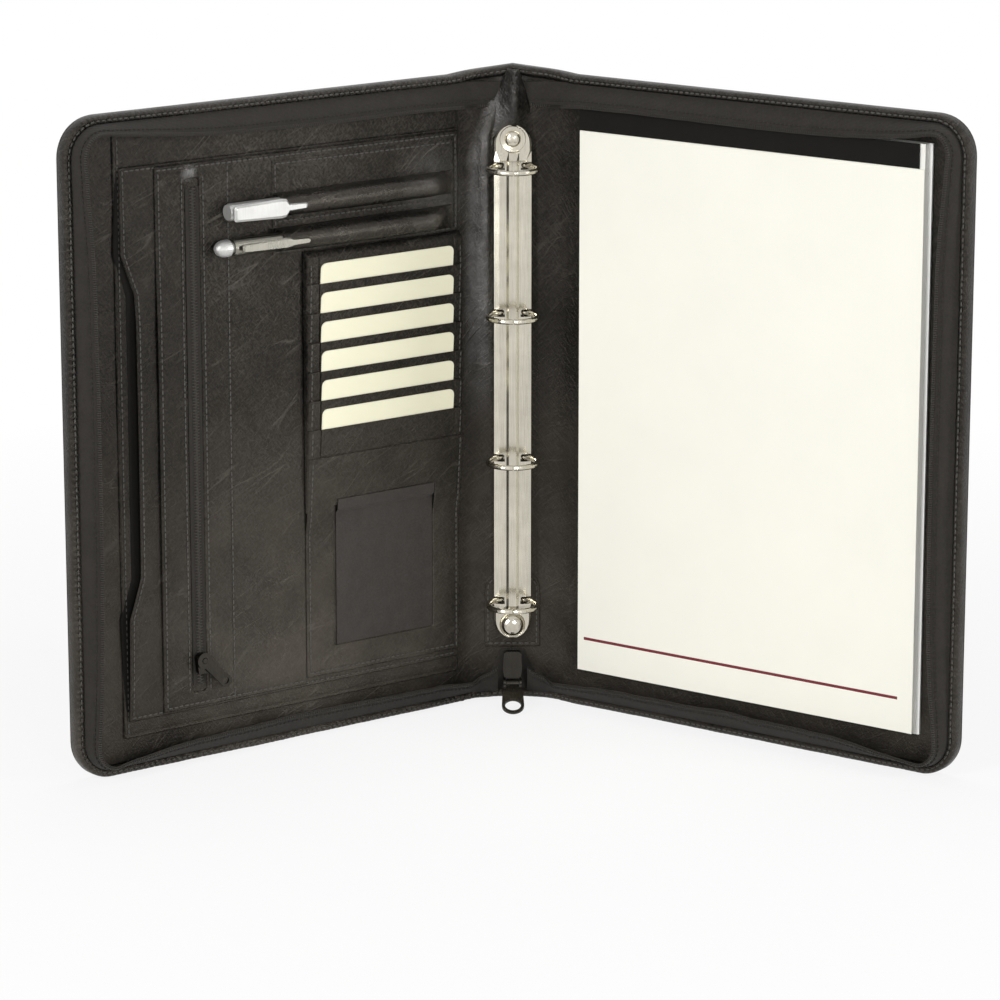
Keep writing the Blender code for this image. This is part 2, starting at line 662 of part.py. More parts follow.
def make_pocket_zip(hinge, paint):
    """Zip chain in the slit of the front panel, its slider with a post, and the pull on that post."""
    low, high = pocket_zip_span()
    half = POCKET_ZIP_SLIT / 2 - CLEARANCE
    coil = POCKET_COIL_WIDTH / 2
    tape_top = FRONT_LIFT + POCKET_TAPE
    coil_top = tape_top + POCKET_COIL
    right = [(half, FRONT_LIFT), (half, tape_top), (coil, tape_top), (coil * 0.6, coil_top)]
    section = right + [(-u, lift) for u, lift in reversed(right)]
    ends = (low + half, high - half)
    chain = loft([[(-POCKET_ZIP_U + u, -lift, z) for u, lift in section] for z in ends])
    add_object("pocket_zip_chain", chain, paint["tape"], hinge)
    z = low + POCKET_SLIDER_RISE
    width = POCKET_SLIDER_WIDTH / 2
    length = POCKET_SLIDER_LENGTH / 2
    outline = rounded(
        [(-width * 0.7, z - length, width * 0.3), (width * 0.7, z - length, width * 0.3),
         (width, z + length, width * 0.6), (-width, z + length, width * 0.6)]
    )
    outline = [(x - POCKET_ZIP_U, height) for x, height in outline]
    seat = max(coil_top, FRONT_TOP) + CLEARANCE
    slider = add_object("pocket_zip_slider", slab(outline, seat, POCKET_SLIDER), paint["slider"], hinge,
                        (-POCKET_ZIP_U, -seat, z))
    top = seat + POCKET_SLIDER
    post_z = z + length / 3
    post = turned([(-POCKET_SLIDER / 2, POCKET_POST), (POCKET_POST_HEIGHT, POCKET_POST)],
                  (-POCKET_ZIP_U, -top, post_z), (0, -1, 0))
    combine(slider, "UNION", post, "slider_post")
    make_pocket_pull(hinge, paint, (-POCKET_ZIP_U, -top - CLEARANCE, post_z))


def make_pocket_pull(hinge, paint, pivot):
    """Tapered pull with a round head on the slider's post, hanging aslant towards the spine."""
    axis = add_empty("pocket_pull_axis", pivot, 0.0, hinge)
    axis.rotation_euler = (0, -POCKET_PULL_ANGLE, 0)
    end = POCKET_PULL_END
    outline = [(POCKET_PULL_HEAD * math.cos(a), POCKET_PULL_HEAD * math.sin(a))
               for a in [math.radians(-50 + 280 * step / 14) for step in range(15)]]
    outline += rounded([(-end, -POCKET_PULL_HEAD * 1.6, 0), (-end * 1.2, -POCKET_PULL_LENGTH, end),
                        (end * 1.2, -POCKET_PULL_LENGTH, end), (end, -POCKET_PULL_HEAD * 1.6, 0)])
    thick = POCKET_POST_HEIGHT - 2 * CLEARANCE
    pull = add_object("pocket_zip_pull", slab(outline, 0, thick), paint["slider"], axis)
    bore = POCKET_POST + CLEARANCE
    bore_mesh = turned([(-thick, bore), (2 * thick, bore)], (0, 0, 0), (0, -1, 0))
    combine(pull, "DIFFERENCE", bore_mesh, "pocket_pull_bore")
    hole = turned([(-thick, POCKET_PULL_HOLE), (2 * thick, POCKET_PULL_HOLE)],
                  (0, 0, 1.3 * end - POCKET_PULL_LENGTH), (0, -1, 0))
    combine(pull, "DIFFERENCE", hole, "pocket_pull_hole")


def card_direction():
    """Lift and rise of one step up along a card."""
    return math.sin(CARD_TILT), math.cos(CARD_TILT)


def mouths():
    return [FIRST_MOUTH_Z - index * CARD_PITCH for index in range(CARD_COUNT)]


def lean_lift(z, mouth_z):
    """Lift at height z on the leaning back wall of the slot whose mouth is at mouth_z."""
    return MOUTH_LIFT + (z - mouth_z) * math.tan(CARD_TILT)


def leaning_box(low_u, high_u, back, thickness, mouth_z, below, above):
    """Solid that lies along a leaning slot, from below to above the mouth, in front of its back wall."""
    lift, rise = card_direction()
    front = back + thickness
    section = []
    for along, across in ((-below, back), (above, back), (above, front), (-below, front)):
        section.append((MOUTH_LIFT + along * lift + across * rise, mouth_z + along * rise - across * lift))
    return extrusion_along_x(section, -high_u, -low_u)


def make_card_pocket(hinge, paint):
    """Stepped leather pocket: a saw-tooth section with one leaning slot for each card."""
    step = (CARD_SLOT + CARD_STRIP) / math.cos(CARD_TILT)
    foot = lean_lift(CARD_PANEL_BOTTOM, LAST_MOUTH_Z) + step
    section = [(FRONT_LIFT, CARD_PANEL_BOTTOM), (foot, CARD_PANEL_BOTTOM)]
    for mouth_z in reversed(mouths()):
        section += [(MOUTH_LIFT + step, mouth_z), (MOUTH_LIFT, mouth_z)]
    section += [(lean_lift(CARD_PANEL_TOP, FIRST_MOUTH_Z), CARD_PANEL_TOP), (FRONT_LIFT, CARD_PANEL_TOP)]
    pocket = add_object(
        "card_pocket", extrusion_along_x(section, -CARD_PANEL_FORE, -SEAM), paint["lining"], hinge
    )
    low = SEAM + CARD_SIDE_MARGIN
    high = low + CARD_WIDTH + 2 * CARD_PLAY
    back = CARD_PLAY / 3
    for number, mouth_z in enumerate(mouths(), 1):
        slot = leaning_box(low, high, back, CARD_SLOT - back, mouth_z, CARD_HIDDEN, CARD_FLOOR)
        combine(pocket, "DIFFERENCE", slot, f"card_slot_{number}")


def make_cards(hinge, paint):
    """Cards in their slots, with round upper corners."""
    low = SEAM + CARD_SIDE_MARGIN + CARD_PLAY
    outline = rounded(
        [(0, 0, 0), (CARD_WIDTH, 0, 0), (CARD_WIDTH, CARD_HEIGHT - CLEARANCE, CARD_CORNER),
         (0, CARD_HEIGHT - CLEARANCE, CARD_CORNER)]
    )
    for number, mouth_z in enumerate(mouths(), 1):
        lift, rise = card_direction()
        below = CARD_HIDDEN - CLEARANCE
        origin = (-low - CARD_WIDTH, -(MOUTH_LIFT - below * lift + CARD_PLAY * rise), mouth_z - below * rise)
        card = add_object(f"card_{number}", slab(outline, 0, CARD), paint["card"], hinge)
        card.location = origin
        card.rotation_euler = (CARD_TILT, 0, 0)


def frame_section(lift, thickness, low, high):
    """Section of the bent window panel: flat on the pocket, then leaning over the card pocket's foot."""
    run = (CARD_SLOT + CARD_STRIP) / math.cos(CARD_TILT) + CLEARANCE
    bend = CARD_PANEL_BOTTOM - 2 * CLEARANCE
    gap = lift - FRONT_LIFT
    def front(z):
        return lean_lift(z, LAST_MOUTH_Z) + run + gap
    foot = bend - (front(bend) - lift)
    inner = [(lift, low), (lift, foot), (front(bend), bend), (front(high), high)]
    return inner + [(a + thickness, b) for a, b in reversed(inner)]


def make_window_panel(hinge, paint):
    """Leather panel with a window, and the sheet that fills the window."""
    top = CARD_PANEL_BOTTOM + FRAME_OVERLAP
    section = frame_section(FRONT_LIFT, FRAME_LEATHER, FRAME_BOTTOM, top)
    panel = extrusion_along_x(section, -CARD_PANEL_FORE, -SEAM)
    frame = add_object("id_frame", panel, paint["lining"], hinge)
    middle = SEAM + CARD_PANEL_WIDTH / 2
    half = CARD_PANEL_WIDTH / 2 - WINDOW_SIDE_MARGIN
    low = FRAME_BOTTOM + WINDOW_BOTTOM_MARGIN
    high = top - WINDOW_TOP_MARGIN
    outline = mirrored(rectangle(middle - half, middle + half, low, high), LEFT)
    deep = MOUTH_LIFT - FRONT_LIFT + 4 * FRAME_LEATHER
    combine(frame, "DIFFERENCE", slab(outline, FRONT_LIFT - FRAME_LEATHER, deep), "id_opening")
    section = frame_section(FRONT_LIFT, WINDOW_SHEET, low + CLEARANCE, high - CLEARANCE)
    sheet = extrusion_along_x(section, -(middle + half - CLEARANCE), -(middle - half + CLEARANCE))
    add_object("id_window", sheet, paint["mesh"], hinge)


def loop_section(puff):
    """Section of a pen loop in z and lift: two flanges and an arch over the pen, flat where puff is 0."""
    inner = LOOP_OUTER - LOOP_WALL
    wide = LOOP_OUTER + LOOP_FLANGE
    seat = FRONT_TOP + CLEARANCE
    axis = PEN_LIFT - seat
    def arch(radius, base):
        points = [(radius, base)]
        for step in range(2 * ARC_STEPS + 1):
            angle = math.pi * step / (2 * ARC_STEPS)
            points.append((radius * math.cos(angle), base + (axis - base + radius * math.sin(angle)) * puff))
        return points + [(-radius, base)]
    outer = [(wide, 0.0), (wide, LOOP_WALL), *arch(LOOP_OUTER, LOOP_WALL), (-wide, LOOP_WALL), (-wide, 0.0)]
    return [(z, seat + lift) for z, lift in outer + arch(inner, 0.0)[::-1]]


def make_pen_loops(hinge, paint):
    """Leather loops, sewn down flat at the spine end."""
    tail = PEN_SPINE_END - LOOP_SPINE_END
    ends = ((0.0, 0.02), (tail * 0.4, 0.02), (tail * 0.8, 1.0), (LOOP_FORE - LOOP_SPINE_END, 1.0))
    for word, pen_z in (("upper", UPPER_PEN_Z), ("lower", LOWER_PEN_Z)):
        stations = []
        for along, puff in ends:
            u = LOOP_SPINE_END + along
            stations.append([(-u, -lift, pen_z + z) for z, lift in loop_section(puff)])
        add_object(f"pen_loop_{word}", loft(stations), paint["lining"], hinge)


def pen_profile(length):
    """Distance from the spine end and radius along a pen: fine tip, cone, grip and barrel."""
    grip = PEN_TIP * 1.8
    end = length
    shares = [(0.0, 0.16), (PEN_TIP * 0.12, 0.28), (PEN_TIP * 0.15, 0.45), (PEN_TIP, 0.85), (grip, 0.92),
              (grip * 1.04, 1.0), (end * 0.55, 1.0), (end * 0.553, 0.96), (end * 0.557, 1.0),
              (end - PEN_RADIUS * 0.3, 0.97), (end, 0.86)]
    return [(along, share * PEN_RADIUS) for along, share in shares]


def make_clip(word, fore, pen_z, width, length, hinge, paint):
    """Spring clip from the pen's end over the front of its loop: a bevelled shield, then a narrow tongue."""
    skin = PEN_LIFT + PEN_RADIUS + CLEARANCE
    under = PEN_LIFT + LOOP_OUTER + CLEARANCE
    top = under + CLIP
    near = fore - length
    half = width / 2
    tongue = CLIP_TONGUE / 2
    upper_side = [(fore, half * 0.8, CLIP), (near + length * 0.36, half, CLIP),
                  (near + length * 0.29, half * 0.9, CLIP), (near + length * 0.25, tongue, CLIP / 4),
                  (near, tongue * 0.8, CLIP)]
    lower_side = [(u, -z, radius) for u, z, radius in reversed(upper_side)]
    outline = rounded(upper_side + lower_side)
    middle = (fore + near) / 2
    stations = []
    for lift, share in ((under, 1.0), (under + CLIP * 0.4, 1.0), (top, 0.74)):
        ends = 1 - (1 - share) * width / length
        stations.append([(-middle - (u - middle) * ends, -lift, pen_z + z * share) for u, z in outline])
    clip = add_object(f"{word}_pen_clip", loft(stations), paint["silver"], hinge)
    foot = rectangle(CLIP - fore, CLIP_FOOT - fore, pen_z - tongue, pen_z + tongue)
    combine(clip, "UNION", slab(foot, skin, top - CLIP / 2 - skin), f"{word}_clip_foot")


def make_pens(hinge, paint):
    """Upper pen with a plain end, lower pen with a push button."""
    spine_end = PEN_SPINE_END
    centre = (-spine_end, -PEN_LIFT, UPPER_PEN_Z)
    barrel = turned(pen_profile(PEN_LENGTH), centre, (-1, 0, 0))
    add_object("upper_pen_barrel", barrel, paint["silver"], hinge, centre)
    fore = spine_end + PEN_LENGTH
    make_clip("upper", fore, UPPER_PEN_Z, UPPER_CLIP_WIDTH, UPPER_CLIP_LENGTH, hinge, paint)
    spine_end = PEN_SPINE_END + PEN_STAGGER
    barrel_length = PEN_LENGTH - BUTTON_LENGTH - BUTTON_TRAVEL - CLEARANCE
    centre = (-spine_end, -PEN_LIFT, LOWER_PEN_Z)
    barrel = turned(pen_profile(barrel_length), centre, (-1, 0, 0))
    barrel = add_object("lower_pen_barrel", barrel, paint["silver"], hinge, centre)
    bore = BUTTON_STEM + CLEARANCE
    depth = BUTTON_STEM_LENGTH + CLEARANCE
    bore_profile = [(barrel_length - depth, bore), (barrel_length + depth, bore)]
    combine(barrel, "DIFFERENCE", turned(bore_profile, centre, (-1, 0, 0)), "button_bore")
    fore = spine_end + barrel_length - PEN_RADIUS / 2
    make_clip("lower", fore, LOWER_PEN_Z, LOWER_CLIP_WIDTH, LOWER_CLIP_LENGTH, hinge, paint)
    head = spine_end + barrel_length + CLEARANCE + BUTTON_TRAVEL
    stem_end = BUTTON_TRAVEL - BUTTON_STEM_LENGTH
    edge = BUTTON_RADIUS * 0.1
    profile = [(stem_end, BUTTON_STEM), (0.0, BUTTON_STEM), (edge / 4, BUTTON_RADIUS - edge)]
    profile.append((edge, BUTTON_RADIUS))
    for angle in (0.0, 0.25, 0.5, 0.75, 1.0, 1.25, 1.45):
        along = BUTTON_LENGTH * 0.35 + BUTTON_LENGTH * 0.65 * math.sin(angle)
        profile.append((along, BUTTON_RADIUS * math.cos(angle)))
    centre = (-head, -PEN_LIFT, LOWER_PEN_Z)
    add_object("lower_pen_button", turned(profile, centre, (-1, 0, 0)), paint["silver"], hinge, centre)


def make_pad(hinge, paint):
    """Backing board, block of sheets, loose top sheet and binding strip."""
    low = PAD_SPINE_MARGIN
    high = low + PAD_WIDTH
    fore = high + PAD_BOARD_OVERHANG
    board = slab(rectangle(low, fore, PAD_BOTTOM - PAD_BOARD_OVERHANG / 2, PAD_TOP), INSIDE_LIFT, PAD_BOARD)
    add_object("pad_board", board, paint["white_board"], hinge)
    sheets = slab(rectangle(low, high, PAD_BOTTOM, PAD_TOP), PAD_SHEETS_LIFT, PAD_SHEETS)
    add_object("pad_sheets", sheets, paint["paper"], hinge)
    turn_z = PAD_BOTTOM + SHEET_HEIGHT
    sheet = slab(rectangle(low, high, PAD_BOTTOM, turn_z), PAD_TOP_LIFT, PAD_TOP_SHEET)
    add_object("pad_top_sheet", sheet, paint["paper"], hinge, (low, -PAD_TOP_LIFT - BINDING_TAPE, turn_z))
    outline = rectangle(low, high - BINDING_SHORT, turn_z + CLEARANCE, PAD_TOP)
    add_object("pad_binding", slab(outline, PAD_TOP_LIFT, BINDING_TAPE), paint["binding"], hinge)


def paints():
    return {
        "leather": make_material("black_leather", (0.018, 0.015, 0.013), 0.38),
        "lining": make_material("black_lining_leather", (0.020, 0.017, 0.015), 0.36),
        "board": make_material("grey_board", (0.30, 0.28, 0.25), 0.9),
        "tape": make_material("black_zip_tape", (0.012, 0.012, 0.012), 0.85),
        "coil": make_material("black_zip_coil", (0.02, 0.02, 0.02), 0.45),
        "slider": make_material("black_nickel", (0.10, 0.10, 0.10), 0.30, 1.0),
        "nickel": make_material("bright_nickel", (0.78, 0.76, 0.70), 0.16, 1.0),
        "silver": make_material("satin_silver", (0.80, 0.80, 0.80), 0.25, 1.0),
        "card": make_material("cream_card", (0.94, 0.92, 0.68), 0.6),
        "paper": make_material("cream_paper", (0.96, 0.945, 0.84), 0.75),
        "white_board": make_material("white_board", (0.90, 0.90, 0.88), 0.8),
        "binding": make_material("black_binding", (0.02, 0.02, 0.02), 0.6),
        "mesh": make_material("dark_window_mesh", (0.03, 0.03, 0.032), 0.55),
    }


def main():
    clear_scene()
    paint = paints()
    left = add_empty("left_cover_hinge", (-SPINE_WIDTH / 2, 0, 0), OPEN_ANGLE)
    right = add_empty("right_cover_hinge", (SPINE_WIDTH / 2, 0, 0), -OPEN_ANGLE)
    make_spine(paint)
    make_ring_patch(paint)
    make_ring_plate(paint)
    make_rings(paint)
    make_zip_ends(paint)
    make_main_slider(paint)
    make_cover(LEFT, "left", left, paint)
    make_cover(RIGHT, "right", right, paint)
    make_organiser(left, paint)
    make_pocket_zip(left, paint)
    make_card_pocket(left, paint)
    make_cards(left, paint)
    make_window_panel(left, paint)
    make_pen_loops(left, paint)
    make_pens(left, paint)
    make_pad(right, paint)


main()
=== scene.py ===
"""Looks of the leather zip-around ring binder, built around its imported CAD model."""

import math

import bmesh
import bpy
import numpy as np
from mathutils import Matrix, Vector, geometry, noise


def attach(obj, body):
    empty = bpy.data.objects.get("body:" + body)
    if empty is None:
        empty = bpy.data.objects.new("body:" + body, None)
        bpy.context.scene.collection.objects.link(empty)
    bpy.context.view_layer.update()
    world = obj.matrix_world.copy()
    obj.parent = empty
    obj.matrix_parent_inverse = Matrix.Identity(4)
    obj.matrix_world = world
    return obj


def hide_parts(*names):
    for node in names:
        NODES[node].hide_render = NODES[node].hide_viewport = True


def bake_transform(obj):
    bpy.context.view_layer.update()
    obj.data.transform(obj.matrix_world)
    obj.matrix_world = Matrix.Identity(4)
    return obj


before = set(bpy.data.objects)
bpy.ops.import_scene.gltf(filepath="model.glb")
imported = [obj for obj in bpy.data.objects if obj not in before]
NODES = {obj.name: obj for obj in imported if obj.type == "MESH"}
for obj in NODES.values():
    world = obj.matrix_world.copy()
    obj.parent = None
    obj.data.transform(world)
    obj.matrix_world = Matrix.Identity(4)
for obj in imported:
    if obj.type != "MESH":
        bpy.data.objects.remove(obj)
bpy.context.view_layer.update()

# The case, in millimetres, as in the CAD source
MM = 0.001
OPEN = math.radians(36)
HALF = 25.5
WIDE = 253.5
TALL = 347.0
CORNER = 21.0
BEND = 8.0
LEFT, RIGHT = -1, 1
WORDS = {LEFT: "left", RIGHT: "right"}
STITCH = 3.3

# Lifts of the layers off the plane of the hinges
LINING = 2.7
PATCH = 3.45
BACKING = 3.7
SIDE = 4.7
FRONT = 5.7
SKIN = 0.7

# Organiser on the left cover: distances from the hinge, and heights
SEAM = 9.0
FRONT_FORE = 200.0
FRONT_LOW, FRONT_HIGH = 28.5, 317.5
CARDS_FORE = 109.6
CARDS_LOW, CARDS_HIGH = 122.5, 263.1
ZIP_U = 177.5
ZIP_LOW, ZIP_HIGH = 36.5, 309.5
CARD_PITCH = 15.66
CARD_STACK = 0.9 + 0.35
CARD_LEAN = math.asin(CARD_STACK / CARD_PITCH)
FIRST_MOUTH = CARDS_HIGH - 17.0
HIDDEN = 43.2
MOUTH_LIFT = FRONT + 0.55 + HIDDEN * math.sin(CARD_LEAN)
PEN_LIFT = 12.0
PEN_PANEL, PEN_BASE = 6.45, 6.9
PENS = (("upper", 290.5), ("lower", 272.0))

# The plain rule near the foot of the pad, in metres: height, middle from the hinge, half its length and of its width
RULE_Z, RULE_U = 0.0396, 0.1215
RULE_HALF, RULE_THIN = 0.0985, 0.0008


# Flat pattern: s from the middle of the spine, lift off it, and z up


def bent(flat, side):
    """Points in the world from points of the flat pattern, folded at the hinge."""
    s, lift, z = np.asarray(flat, float).reshape(-1, 3).T
    along = np.array([math.cos(OPEN), -math.sin(OPEN)])
    corner = np.array([HALF, 0.0])
    first, last = corner - [BEND, 0.0], corner + BEND * along
    t = np.clip((s - HALF + BEND) / (2 * BEND), 0, 1)[:, None]
    middle = (1 - t) ** 2 * first + 2 * t * (1 - t) * corner + t**2 * last
    middle = middle + np.minimum(s - HALF + BEND, 0)[:, None] * [1.0, 0.0]
    middle = middle + np.maximum(s - HALF - BEND, 0)[:, None] * along
    ahead = unit((1 - t) * (corner - first) + t * (last - corner))
    flat_xy = middle + lift[:, None] * np.column_stack([ahead[:, 1], -ahead[:, 0]])
    return np.column_stack([side * flat_xy[:, 0], flat_xy[:, 1], z])


def unit(vectors):
    """Vectors of length 1."""
    return vectors / np.linalg.norm(vectors, axis=1)[:, None]


def stand(name, data):
    """Object of the scene that holds this mesh, camera or lamp."""
    obj = bpy.data.objects.new(name, data)
    bpy.context.scene.collection.objects.link(obj)
    return obj


def add_mesh(name, points, faces, look, sharp=40):
    """Object from points in millimetres in the world."""
    mesh = bpy.data.meshes.new(name)
    mesh.from_pydata([tuple(p) for p in np.asarray(points) * MM], [], [list(map(int, f)) for f in faces])
    bm = bmesh.new()
    bm.from_mesh(mesh)
    bmesh.ops.recalc_face_normals(bm, faces=bm.faces)
    bm.to_mesh(mesh)
    bm.free()
    mesh.shade_smooth()
    mesh.set_sharp_from_angle(angle=math.radians(sharp))
    mesh.materials.append(look)
    return stand(name, mesh)


def settle(obj, body, slot, *nodes):
    """Puts a piece on a body, in place of the CAD nodes that it stands for."""
    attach(obj, body)
    if nodes:
        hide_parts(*nodes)
    return obj


def sewn(obj, *nodes):
    """Puts a piece of the organiser on the left cover."""
    return settle(obj, "left_cover", "lining_leather", *nodes)


def fold(obj, side, slot, *nodes):
    """Bakes a piece that lies on the spine and on one cover into its place in the world, and hides the CAD nodes it
    stands for.
    """
    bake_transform(obj)
    if nodes:
        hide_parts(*nodes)
    return obj


def wave(flat, size, seed):
    """Smooth noise at each (s, z) point, about -1 to 1."""
    offset = Vector((seed * 17.3, seed * 5.1, seed * 29.7))
    return np.array([noise.fractal(Vector((*p, 0.0)) / size + offset, 0.7, 2.1, 3) for p in flat])


def resample(line, step, closed=True):
    """Points along a line, evenly spaced between its own points."""
    line = [np.asarray(p, float) for p in line]
    pairs = zip(line, line[1:] + line[:1]) if closed else zip(line, line[1:])
    out = []
    for a, b in pairs:
        count = max(1, math.ceil(np.linalg.norm(b - a) / step))
        out += [a + (b - a) * i / count for i in range(count)]
    if not closed:
        out.append(line[-1])
    return np.array(out)


def rounded(corners, steps=6):
    """Outline through (a, b, radius) corners."""
    points = []
    for i, (a, b, radius) in enumerate(corners):
        corner = Vector((a, b))
        if radius <= 0:
            points.append(corner)
            continue
        last = (Vector(corners[i - 1][:2]) - corner).normalized()
        following = (Vector(corners[(i + 1) % len(corners)][:2]) - corner).normalized()
        half = last.angle(following) / 2
        reach = radius / math.tan(half)
        first, end = corner + last * reach, corner + following * reach
        centre = corner + (last + following).normalized() * radius / math.sin(half)
        a0, a1 = first - centre, end - centre
        arc = math.atan2(a0.cross(a1), a0.dot(a1))
        for k in range(steps + 1):
            turn = arc * k / steps
            x = a0.x * math.cos(turn) - a0.y * math.sin(turn)
            y = a0.x * math.sin(turn) + a0.y * math.cos(turn)
            points.append(centre + Vector((x, y)))
    return [tuple(p) for p in points]


def box_outline(a0, a1, b0, b1, radius):
    """Rectangle with rounded corners."""
    return rounded([(a0, b0, radius), (a1, b0, radius), (a1, b1, radius), (a0, b1, radius)])


def inside(loop, points):
    """Whether each point lies inside a closed outline."""
    hit = np.zeros(len(points), bool)
    for (xa, ya), (xb, yb) in zip(loop, np.roll(loop, -1, axis=0)):
        crosses = (ya > points[:, 1]) != (yb > points[:, 1])
        if ya != yb:
            hit ^= crosses & (points[:, 0] < xa + (points[:, 1] - ya) * (xb - xa) / (yb - ya))
    return hit


def distance(points, line, closed=True):
    """Distance of each point from a line of points."""
    a = np.asarray(line, float)
    b = np.roll(a, -1, axis=0)
    if not closed:
        a, b = a[:-1], b[:-1]
    best = np.full(len(points), 1e9)
    for p, q in zip(a, b):
        d = q - p
        t = np.clip(((points - p) @ d) / max(d @ d, 1e-12), 0, 1)
        best = np.minimum(best, np.linalg.norm(points - p - t[:, None] * d, axis=1))
    return best


def beside(line, gap, closed):
    """The line moved sideways."""
    line = np.asarray(line, float)
    if closed:
        ahead = np.roll(line, -1, axis=0) - np.roll(line, 1, axis=0)
    else:
        ahead = np.gradient(line, axis=0)
    ahead /= np.maximum(np.linalg.norm(ahead, axis=1), 1e-9)[:, None]
    return line + gap * np.column_stack([-ahead[:, 1], ahead[:, 0]])


def cut_out(loops, rows, guides, cell):
    """Points and triangles of a flat piece: dense along its edges, seams and guides, and a grid between them."""
    points, edges = [], []
    for loop in loops:
        start = len(points)
        points += list(loop)
        edges += [(start + i, start + (i + 1) % len(loop)) for i in range(len(loop))]
    extra = [beside(loop, gap, True) for loop in loops for gap in (-1.0, -0.4, 0.4, 1.0)]
    extra += [beside(row, gap, False) for row in rows for gap in (-1.3, -0.5, 0.0, 0.5, 1.3)]
    extra += [resample(path, 3.0, False) for path in guides]
    low, high = loops[0].min(0), loops[0].max(0)
    across, up = np.meshgrid(np.arange(low[0], high[0], cell), np.arange(low[1], high[1], cell))
    across = across + (np.arange(len(across)) % 2)[:, None] * cell / 2
    extra = np.concatenate([*extra, np.column_stack([across.ravel(), up.ravel()])])
    keep = inside(loops[0], extra)
    for hole in loops[1:]:
        keep &= ~inside(hole, extra)
    edge = np.min([distance(extra, loop) for loop in loops], axis=0)
    points = np.concatenate([np.array(points), extra[keep & (edge > 0.25)]])
    made = geometry.delaunay_2d_cdt([Vector(p) for p in points], edges, [], 1, 1e-4)
    flat = np.array([tuple(p) for p in made[0]])
    faces = np.array([f for f in made[2] if len(f) == 3])
    for hole in loops[1:]:
        faces = faces[~inside(hole, flat[faces].mean(axis=1))]
    return flat, faces


def panel(name, outline, lift, look, side, *, seed, holes=(), grooves=(), guides=(), thick=SKIN, cell=5.0, ripple=0.2,
          shape=None):
    """Piece of leather cut to an outline in s and z, with soft edges, sewn grooves and a slightly uneven skin."""
    loops = [resample(loop, 2.5) for loop in (outline, *holes)]
    rows = [resample(path, 2.4, False) for path in grooves]
    flat, faces = cut_out(loops, rows, guides, cell)
    edge = np.min([distance(flat, loop) for loop in loops], axis=0)
    soft = np.minimum(edge / 0.8, 1)
    top = thick * (0.35 + 0.65 * np.sqrt(1 - (1 - soft) ** 2))
    uneven = wave(flat, 45, seed) + 0.35 * wave(flat, 14, seed + 5)
    top = top + ripple * uneven * np.minimum(edge / 6, 1)
    for row in rows:
        top = top - 0.22 * np.exp(-((distance(flat, row, False) / 0.75) ** 2))
    under = shape(flat[:, 0], flat[:, 1]) if shape else np.full(len(flat), float(lift))
    upper = np.column_stack([flat[:, 0], under + np.maximum(top, 0.15), flat[:, 1]])
    lower = np.column_stack([flat[:, 0], under, flat[:, 1]])
    count = len(flat)
    sides = dict.fromkeys((f[i], f[(i + 1) % 3]) for f in faces for i in range(3))
    walls = [(p, q, q + count, p + count) for p, q in sides if (q, p) not in sides]
    all_faces = [tuple(f) for f in faces] + [tuple(f[::-1] + count) for f in faces] + walls
    return add_mesh(name, bent(np.concatenate([upper, lower]), side), all_faces, look)


def sweep(name, stations, look, side, sharp=40):
    """Solid through rings of flat-pattern points."""
    stations = np.asarray(stations, float)
    count, size = stations.shape[:2]
    faces = []
    for i in range(count - 1):
        for j in range(size):
            k = (j + 1) % size
            faces.append((i * size + j, i * size + k, (i + 1) * size + k, (i + 1) * size + j))
    faces.append(tuple(range(size)))
    faces.append(tuple(range((count - 1) * size, count * size)))
    return add_mesh(name, bent(stations.reshape(-1, 3), side), faces, look, sharp)


# Rings of a bead: place along it, and share of its width
BEAD = ((-0.5, 0.3), (-0.36, 0.85), (-0.12, 1.0), (0.12, 1.0), (0.36, 0.85), (0.5, 0.3))
BEAD_SIDES = 6


def beads(name, items, look, side):
    """Many small rounded rods: (centre, axis, up, length, width, height) each, in the flat pattern."""
    points, faces = [], []
    for centre, axis, up, length, wide, high in items:
        across = np.cross(axis, up)
        first = len(points)
        for along, share in BEAD:
            for k in range(BEAD_SIDES):
                a = 2 * math.pi * k / BEAD_SIDES
                rim = across * math.cos(a) * wide / 2 * share + up * math.sin(a) * high / 2 * share
                arch = up * (0.25 - along * along) * high * 0.5
                points.append(centre + axis * along * length + rim + arch)
        for i in range(len(BEAD) - 1):
            a = first + i * BEAD_SIDES
            b = a + BEAD_SIDES
            for k in range(BEAD_SIDES):
                j = (k + 1) % BEAD_SIDES
                faces.append((a + k, a + j, b + j, b + k))
        faces.append(tuple(range(first, first + BEAD_SIDES)))
        faces.append(tuple(range(len(points) - BEAD_SIDES, len(points))))
    return add_mesh(name, bent(points, side), faces, look, 60)


def runs(line):
    """Distance run along a line at each of its points."""
    return np.concatenate([[0], np.cumsum(np.linalg.norm(np.diff(line, axis=0), axis=1))])


def at_runs(places, run, line):
    """Values of a line's columns at distances run along it."""
    return np.column_stack([np.interp(places, run, column) for column in line.T])


def walk(line, pitch):
    """Evenly spaced (point, direction) along an open line."""
    line = np.asarray(line, float)
    run = runs(line)
    places = np.arange(pitch / 2, run[-1], pitch)
    ahead = at_runs(places + 0.3, run, line) - at_runs(places - 0.3, run, line)
    return list(zip(at_runs(places, run, line), unit(ahead)))


def thread(name, rows, look, side, pitch=STITCH):
    """Rows of stitches along lines of flat-pattern points."""
    up = np.array([0.0, 1.0, 0.0])
    items = [(spot, ahead, up, pitch * 0.76, 0.85, 0.5) for row in rows for spot, ahead in walk(row, pitch)]
    return beads(name, items, look, side)


def flat_row(path, lift):
    """Line in s and z turned into flat-pattern points at a lift."""
    return [(s, lift, z) for s, z in resample(path, 3, False)]


def draped_row(path, shape, above):
    """The same on a shaped piece, a little above its underside."""
    return [(s, float(shape(s, z)) + above, z) for s, z in resample(path, 3, False)]


# Materials


